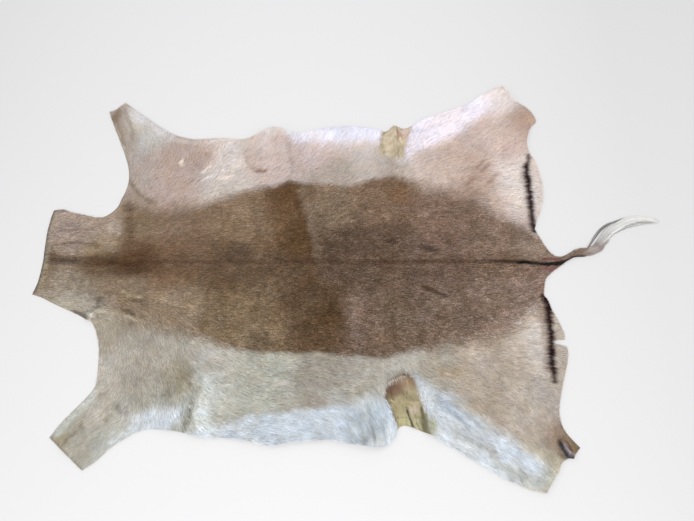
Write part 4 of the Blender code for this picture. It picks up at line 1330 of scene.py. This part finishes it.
def hair_colours(x, y, angle, length, rng):
    """Two colours a hair, near its root and its tip, with locks, mottles and odd hairs.

    The fourth number is how banded the hair is: the saddle's hairs are, the others hardly.
    """
    ahead = np.stack([np.cos(angle), np.sin(angle)]) * length
    mx, my = np.stack([x, y]) + 0.6 * ahead
    along = mx * np.cos(angle) + my * np.sin(angle)
    across = my * np.cos(angle) - mx * np.sin(angle)
    grain = noise(along, across * 2, 3.4, 50)
    lock = noise(along, across * 6, 26, 51) + 0.7 * noise(along, across * 4, 12, 52)
    mottle = noises(mx, my, MOTTLES)  # more of it on the near side
    mottle = mottle * np.interp(my, [-160, 100, 160, 200], [1.5, 1.0, 1.0, 0.7])
    banded = saddle_share(mx, my) * np.interp(mx, [-450, 0], [0.4, 1.0])
    single = np.interp(my, [-220, 120], [0.13, 0.05]) + 0.12 * banded
    single = single * rng.normal(0, 1, len(x))
    shade = GRAIN * grain + LOCK * lock + MOTTLE * mottle + SLOW * noises(mx, my, SLOW_WAVES)
    shade = np.exp((0.6 + 0.7 * banded) * (shade + single))
    shade = np.clip(shade, DARKEST, LIGHTEST)
    warm = noises(mx, my, WARMTH) + rng.normal(0, 0.02, len(x))
    grey = np.maximum(shade - 1, 0)  # a pale hair is greyer too
    red, blue = 1 + warm - 0.08 * grey, 1 - 1.6 * warm + 0.16 * grey
    tint = np.stack([red, np.ones(len(x)), blue], axis=1) * shade[:, None]
    made = []
    for at in (ROOT_AT, TIP_AT):
        colour = np.clip(coat_colour(*(np.stack([x, y]) + at * ahead)) * tint, 0.003, 0.95)
        made.append(np.concatenate([colour, banded[:, None]], axis=1))
    return made


ROOT_DEPTH = 0.1             # how far below the skin's surface a hair starts
HAIR_ROLL, HAIR_PITCH = 0.45, 0.03  # how far hairs are turned and tipped at random, in radians
LIFT_LIMITS = (0.8, 3.1)     # least and most height of a hair's tip
USUAL_HAIR = 11              # length of a hair of usual width


def roots_object(name, x, y, angle, length, root_colour, tip_colour, rng):
    """One coat piece's roots as bare points with what each hair needs."""
    height = skin_top(x, y)
    rise = skin_top(x + length * np.cos(angle), y + length * np.sin(angle)) - height
    made = add_piece(name, to_row(x, y, height - ROOT_DEPTH), [])
    roll = rng.normal(0, HAIR_ROLL, len(x))
    pitch = -np.arctan2(rise, length) - np.abs(rng.normal(0, HAIR_PITCH, len(x)))
    turn = np.stack([roll, pitch, angle], axis=1)
    lift = np.clip(HAIR_LIFT * length, *LIFT_LIMITS) * rng.uniform(0.55, 1.15, len(x))
    width = HAIR_WIDTH * rng.uniform(0.75, 1.25, len(x)) * np.clip(length / USUAL_HAIR, 0.7, 1.35)
    size = np.stack([length, width, lift], axis=1) * MM
    set_attribute(made.data, "turn", "FLOAT_VECTOR", turn)
    set_attribute(made.data, "size", "FLOAT_VECTOR", size)
    set_attribute(made.data, "coat", "FLOAT_COLOR", root_colour)
    set_attribute(made.data, "coat_tip", "FLOAT_COLOR", tip_colour)
    return made


# %% [markdown]
# The coat's node tree
#
# The kite starts as a circle of four points, which is stretched into a unit hair: from 0 to 1 along
# x, a half to either side, and bent upwards in z. Each root then scales and turns it. The place of a
# point along its hair is stored before the hairs are set out, and the map that the baked colours use
# after, because only then does a hair know where it lies.


# %% The coat's node tree
class GeometryTree:
    """A Geometry Nodes tree under construction."""

    def __init__(self, name, inputs):
        self.tree = bpy.data.node_groups.new(name, "GeometryNodeTree")
        face = self.tree.interface
        face.new_socket("Geometry", in_out="INPUT", socket_type="NodeSocketGeometry")
        for label, kind in inputs.items():
            face.new_socket(label, in_out="INPUT", socket_type=kind)
        face.new_socket("Geometry", in_out="OUTPUT", socket_type="NodeSocketGeometry")
        self.source = self.tree.nodes.new("NodeGroupInput")
        self.end = self.tree.nodes.new("NodeGroupOutput")

    def given(self, label):
        return self.source.outputs[label]

    def node(self, kind, settings=None, inputs=None, out=0):
        made = self.tree.nodes.new(kind)
        for key, value in (settings or {}).items():
            setattr(made, key, value)
        for key, value in (inputs or {}).items():
            if isinstance(value, bpy.types.NodeSocket):
                self.tree.links.new(value, made.inputs[key])
            else:
                made.inputs[key].default_value = value
        return made.outputs[out]

    def math(self, operation, first, second):
        return self.node("ShaderNodeMath", {"operation": operation}, {0: first, 1: second})

    def named(self, name, kind):
        return self.node("GeometryNodeInputNamedAttribute", {"data_type": kind}, {"Name": name})

    def store(self, geometry, name, kind, domain, value):
        inputs = {"Geometry": geometry, "Name": name, "Value": value}
        return self.node(
            "GeometryNodeStoreNamedAttribute", {"data_type": kind, "domain": domain}, inputs)

    def finish(self, geometry, material):
        made = self.node("GeometryNodeSetMaterial", None, {"Geometry": geometry, "Material": material})
        self.tree.links.new(made, self.end.inputs["Geometry"])
        return self.tree


def unit_hair(g):
    """The kite, 1 long and 1 wide, bent up to 1 at its tip."""
    ring = g.node("GeometryNodeMeshCircle", {"fill_type": "NGON"}, {"Vertices": 4, "Radius": 1.0})
    place = g.node("GeometryNodeInputPosition")
    parts = g.node("ShaderNodeSeparateXYZ", None, {0: place})
    along = g.math("MULTIPLY", g.math("ADD", parts, 1.0), 0.5)
    across = g.math("MULTIPLY", parts.node.outputs["Y"], 0.5)
    bow = g.math("MULTIPLY", along, g.math("SUBTRACT", 1.5, g.math("MULTIPLY", along, 0.5)))
    moved = g.node("ShaderNodeCombineXYZ", None, {"X": along, "Y": across, "Z": bow})
    kite = g.node("GeometryNodeSetPosition", None, {"Geometry": ring, "Position": moved})
    place = g.node("GeometryNodeInputPosition")
    share = g.node("ShaderNodeSeparateXYZ", None, {0: place})
    return g.store(kite, "along", "FLOAT", "POINT", share)


def coat_tree():
    """Sets a hair on every root."""
    g = GeometryTree("coat_of_hair", {
        "Low corner": "NodeSocketVector",
        "Box size": "NodeSocketVector",
        "Finish": "NodeSocketMaterial",
    })
    turn = g.node("FunctionNodeEulerToRotation", None, {0: g.named("turn", "FLOAT_VECTOR")})
    hairs = g.node("GeometryNodeInstanceOnPoints", None, {
        "Points": g.given("Geometry"),
        "Instance": unit_hair(g),
        "Rotation": turn,
        "Scale": g.named("size", "FLOAT_VECTOR"),
    })
    real = g.node("GeometryNodeRealizeInstances", None, {"Geometry": hairs})
    real = g.node("GeometryNodeTriangulate", {
        "quad_method": "SHORTEST_DIAGONAL"}, {"Mesh": real})
    place = g.node("GeometryNodeInputPosition")
    offset = g.node("ShaderNodeVectorMath", {"operation": "SUBTRACT"},
                    {0: place, 1: g.given("Low corner")})
    share = g.node("ShaderNodeVectorMath", {"operation": "DIVIDE"}, {0: offset, 1: g.given("Box size")})
    mapped = g.store(real, "OFBake", "FLOAT2", "CORNER", share)
    return g.finish(mapped, g.given("Finish"))


def input_key(tree, label):
    """A tree input's identifier, by which a modifier knows it."""
    for item in tree.interface.items_tree:
        if item.in_out == "INPUT" and item.name == label:
            return item.identifier
    raise KeyError(label)


def made_real(source, tree, name, values, drop=()):
    """The result of a tree on an object, as a plain mesh of its own."""
    modifier = source.modifiers.new(tree.name, "NODES")
    modifier.node_group = tree
    for label, value in values.items():
        modifier[input_key(tree, label)] = value
    graph = bpy.context.evaluated_depsgraph_get()
    mesh = bpy.data.meshes.new_from_object(source.evaluated_get(graph), depsgraph=graph)
    mesh.name = name
    bpy.data.objects.remove(source)
    for attribute in drop:
        if attribute in mesh.attributes:
            mesh.attributes.remove(mesh.attributes[attribute])
    made = bpy.data.objects.new(name, mesh)
    bpy.context.scene.collection.objects.link(made)
    return made


def hair_finish():
    """Short hair: dark at the root, partly its own colour and partly painted shade of the coat's depth,
    and in the saddle banded and finely ticked.
    """
    finish = Finish("coat_hair")
    along = finish.attribute("along")
    banded = finish.attribute("coat", "Alpha")
    # painted shade: plain hair darkens towards its root to stand in for the shade deep in the coat
    plain = finish.node("ShaderNodeValToRGB", {"stops": [
        (0.0, (0.46, 0.44, 0.42, 1)), (0.4, (0.92, 0.915, 0.91, 1)), (0.8, (1.0, 1.0, 1.0, 1)),
    ]}, {"Fac": along})
    bands = finish.node("ShaderNodeValToRGB", {"stops": [
        (0.0, (0.4, 0.38, 0.36, 1)), (0.5, (0.8, 0.8, 0.8, 1)), (0.75, (1.0, 1.0, 1.0, 1)),
        (1.0, (0.7, 0.69, 0.68, 1)),
    ]}, {"Fac": along})
    ticks = finish.noise(finish.place(), TICK_SCALE, 2.0, 0.6)
    dim = 1.0 - (0.5 - ticks) * (0.3 + banded * TICK_GAIN)
    tone = finish.mix(banded, plain, bands)
    greyer = dim * 1.25 - 0.25  # a light tick is greyer than the hair, a dark one browner
    tick_tone = finish.node("ShaderNodeCombineColor", None, {0: dim, 1: dim, 2: greyer})
    tone = finish.mix(1.0, tone, tick_tone, "MULTIPLY")
    colour = finish.mix(along, finish.attribute("coat", "Color"),
                        finish.attribute("coat_tip", "Color"))
    colour = finish.mix(1.0, colour, tone, "MULTIPLY")
    finish.shader.inputs["Specular IOR Level"].default_value = 0.04
    return finish.surface(Base_Color=colour, Roughness=0.66 - along * 0.12)


PIECE_MARGIN = 25            # how far a piece's map reaches past its roots
MAP_HEIGHT = 1000.0          # far more than any hair's, so that height hardly counts in it


def make_coat():
    """The five pieces of the coat, cut across the body."""
    x, y, angle, length, rng = hair_roots()
    root_colour, tip_colour = hair_colours(x, y, angle, length, rng)
    tree, finish = coat_tree(), hair_finish()
    cuts = np.quantile(y, np.linspace(0, 1, len(COAT_PIECES) + 1)[1:-1])
    band = np.searchsorted(cuts, y)
    made = []
    for k, name in enumerate(COAT_PIECES):
        of = band == k
        roots = roots_object(name + "_roots", x[of], y[of], angle[of], length[of],
                             root_colour[of], tip_colour[of], rng)
        box_low = to_row(x[of].min() - PIECE_MARGIN, y[of].min() - PIECE_MARGIN, 0.0)
        box_high = to_row(x[of].max() + PIECE_MARGIN, y[of].max() + PIECE_MARGIN, MAP_HEIGHT)
        values = {
            "Low corner": [float(v) for v in box_low],
            "Box size": [float(v) for v in box_high - box_low],
            "Finish": finish,
        }
        made.append(made_real(roots, tree, name, values, drop=("turn", "size")))
        print(name, of.sum(), "hairs", len(made[-1].data.polygons), "triangles")
    return made


coat = make_coat()

# %% [markdown]
# The tail's tuft
#
# The long hair at the tail's end swings up and away in two locks, a thin dark one and a broad pale
# one with a shaded lower edge, and short tan hair covers their root. Each strand is a line that
# numpy draws along the tuft's own route; the node tree turns lines into three-sided tapered threads.

# %% The tuft
PALE_ROUTE = [(440, 24), (452, 31), (466, 45), (481, 61), (497, 72), (513, 81), (528, 86),
              (546, 88), (562, 87), (577, 84)]
LOWER_ROUTE = [(452, 24), (466, 35), (474, 43), (483, 55), (497, 64), (511, 71), (523, 75),
               (536, 78), (553, 80), (573, 80)]
DARK_ROUTE = [(432, 24), (441, 34), (450, 47), (465, 65), (481, 77), (497, 83), (514, 91)]
DOCK_ROUTE = [(424, 17), (436, 21), (447, 25), (458, 29), (467, 36)]
# Columns: lock, route, strands, half width, height, last root, dark share, brown share of root
LOCKS = [
    ("pale lock", PALE_ROUTE, 760, 8.5, 5.0, 0.4, 0.03, 0.1),
    ("lower edge", LOWER_ROUTE, 110, 3.6, 3.0, 0.3, 0.35, 0.16),
    ("dark lock", DARK_ROUTE, 80, 1.6, 3.5, 0.25, 0.85, 0.16),
    ("dock hair", DOCK_ROUTE, 240, 8.0, 6.0, 0.5, 0.25, 1.0),
]
STRAND_POINTS = 11
STRAND_THICK = 0.26          # radius of a strand at its root, in millimetres
ROUTE_POINTS = 120
PALE_HAIR, DARK_HAIR, TAN_HAIR = (235, 234, 232), (104, 104, 101), (168, 153, 148)


def smooth_route(route):
    """The route as even small steps of a smooth curve, and its sideways directions."""
    route = np.array(route, float)
    padded = np.vstack([2 * route[0] - route[1], route, 2 * route[-1] - route[-2]])
    line = []
    for k in range(len(route) - 1):
        p0, p1, p2, p3 = padded[k:k + 4]
        t = np.linspace(0, 1, 20, endpoint=False)[:, None]
        line.append(0.5 * (2 * p1 + (p2 - p0) * t + (2 * p0 - 5 * p1 + 4 * p2 - p3) * t**2
                           + (3 * p1 - p0 - 3 * p2 + p3) * t**3))
    line = np.vstack([*line, route[-1:]])
    reach = np.concatenate([[0], np.cumsum(np.linalg.norm(np.diff(line, axis=0), axis=1))])
    even = np.linspace(0, reach[-1], ROUTE_POINTS)
    line = np.stack([np.interp(even, reach, line[:, k]) for k in (0, 1)], axis=1)
    ahead = np.gradient(line, axis=0)
    ahead /= np.linalg.norm(ahead, axis=1)[:, None]
    return line, np.stack([-ahead[:, 1], ahead[:, 0]], axis=1)


def lock_strands(rng, route, count, half_width, height, last, dark, brown):
    """Lines of one lock: places, thickness and colour for every point of every strand."""
    line, side = smooth_route(route)
    share = np.linspace(0, 1, len(line))
    along = np.linspace(0, 1, STRAND_POINTS)[None, :]
    place = rng.uniform(-1, 1, (count, 1))
    root = rng.uniform(0, last, (count, 1)) * (1 - 0.3 * np.abs(place))
    tip = 1 - 0.42 * rng.uniform(0, 1, (count, 1)) ** 1.6
    at = root + (tip - root) * along
    spread = half_width * np.interp(at, [0, 0.12, 0.3, 0.6, 0.85, 1], [0.4, 0.7, 1, 0.95, 0.6, 0.3])
    swing = rng.normal(0, 0.5, (count, 1)) + 0.5 * np.sin(7 * at + rng.uniform(0, 6, (count, 1)))
    offset = place * spread + swing * at * 1.6
    x = np.interp(at, share, line[:, 0]) + offset * np.interp(at, share, side[:, 0])
    y = np.interp(at, share, line[:, 1]) + offset * np.interp(at, share, side[:, 1])
    crown = height * np.sqrt(np.clip(1 - place**2, 0, 1)) * rng.uniform(0.25, 1, (count, 1))
    z = 0.4 + crown * np.interp(at, [0, 0.15, 0.6, 1], [0.7, 1, 0.75, 0.25])
    thick = STRAND_THICK * (1 - 0.8 * along**2) * rng.uniform(0.7, 1.3, (count, 1))
    is_dark = rng.uniform(0, 1, (count, 1)) < dark
    pale = linear(PALE_HAIR) * rng.uniform(0.6, 1.06, (count, 1, 1))
    black = linear(DARK_HAIR) * rng.uniform(0.5, 1.6, (count, 1, 1))
    colour = np.where(is_dark[..., None], black, pale) * np.ones((1, STRAND_POINTS, 1))
    browned = ease((brown - at) / 0.12 + 1)[..., None] * 0.85
    tan = linear(TAN_HAIR) * rng.uniform(0.6, 1.3, (count, 1, 1))
    colour = colour * (1 - browned) + tan * browned
    return x, y, z, thick, colour


def strand_tree():
    """Turns lines into tapered threads."""
    g = GeometryTree("tail_threads", {
        "Sides": "NodeSocketInt", "Strands": "NodeSocketFloat", "Finish": "NodeSocketMaterial"})
    lines = g.node("GeometryNodeMeshToCurve", None, {"Mesh": g.given("Geometry")})
    lines = g.node("GeometryNodeSetCurveRadius", None,
                   {"Curve": lines, "Radius": g.named("thick", "FLOAT")})
    around = g.node("GeometryNodeCurvePrimitiveCircle", {"mode": "RADIUS"},
                    {"Resolution": g.given("Sides"), "Radius": 1.0})
    around = g.store(around, "around", "FLOAT", "POINT", g.node("GeometryNodeSplineParameter"))
    tubes = g.node("GeometryNodeCurveToMesh", None,
                   {"Curve": lines, "Profile Curve": around, "Scale": g.named("thick", "FLOAT")})
    row = g.math("DIVIDE", g.math("ADD", g.named("strand", "FLOAT"), g.named("around", "FLOAT")),
                 g.given("Strands"))
    map_place = g.node("ShaderNodeCombineXYZ", None, {"X": g.named("along", "FLOAT"), "Y": row})
    tubes = g.store(tubes, "OFBake", "FLOAT2", "CORNER", map_place)
    return g.finish(tubes, g.given("Finish"))


def strand_finish():
    """Long hair: a little darker at the root, and glossier than the coat."""
    finish = Finish("tail_hair")
    along = finish.attribute("along")
    colour = finish.attribute("strand_colour", "Color")
    tone = finish.node("ShaderNodeValToRGB", {"stops": [
        (0.0, (0.7, 0.68, 0.66, 1)), (0.3, (1.0, 1.0, 1.0, 1)), (1.0, (1.05, 1.04, 1.03, 1)),
    ]}, {"Fac": along})
    finish.shader.inputs["Specular IOR Level"].default_value = 0.4
    return finish.surface(
        Base_Color=finish.mix(1.0, colour, tone, "MULTIPLY"), Roughness=0.5 - along * 0.1)


def make_tuft():
    """The strands of all the locks as one piece."""
    rng = np.random.default_rng(19)
    parts = [lock_strands(rng, *row[1:]) for row in LOCKS]
    x, y, z, thick, colour = (np.concatenate([p[k] for p in parts]) for k in range(5))
    count = len(x)
    place = to_row(x, y, z).reshape(-1, 3)
    numbers = np.arange(count * STRAND_POINTS).reshape(count, STRAND_POINTS)
    mesh = bpy.data.meshes.new("tuft_lines")
    edges = np.stack([numbers[:, :-1].ravel(), numbers[:, 1:].ravel()], axis=1)
    mesh.from_pydata(place.tolist(), edges.tolist(), [])
    lines = bpy.data.objects.new("tuft_lines", mesh)
    bpy.context.scene.collection.objects.link(lines)
    along = np.tile(np.linspace(0.01, 0.99, STRAND_POINTS), count)  # a little inside the map
    set_attribute(mesh, "along", "FLOAT", along)
    set_attribute(mesh, "strand", "FLOAT", np.repeat(np.arange(count), STRAND_POINTS))
    set_attribute(mesh, "thick", "FLOAT", thick.ravel() * MM)
    set_attribute(mesh, "strand_colour", "FLOAT_COLOR", with_alpha(colour.reshape(-1, 3)))
    values = {"Sides": 3, "Strands": float(count), "Finish": strand_finish()}
    made = made_real(lines, strand_tree(), "tail_strands", values, drop=("thick", "strand", "around"))
    print("tail", count, "strands", len(made.data.polygons), "faces")
    return made


tuft = make_tuft()

# %% [markdown]
# Joining the frame
#
# Nothing on a hide moves by itself, so every piece rides on the one body. Skin and coat stand for the
# solid hide and the strands for the solid tuft.

for piece in (skin, *coat):
    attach(piece, "root")
    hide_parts("hide")
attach(tuft, "root")
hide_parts("tail_tuft")
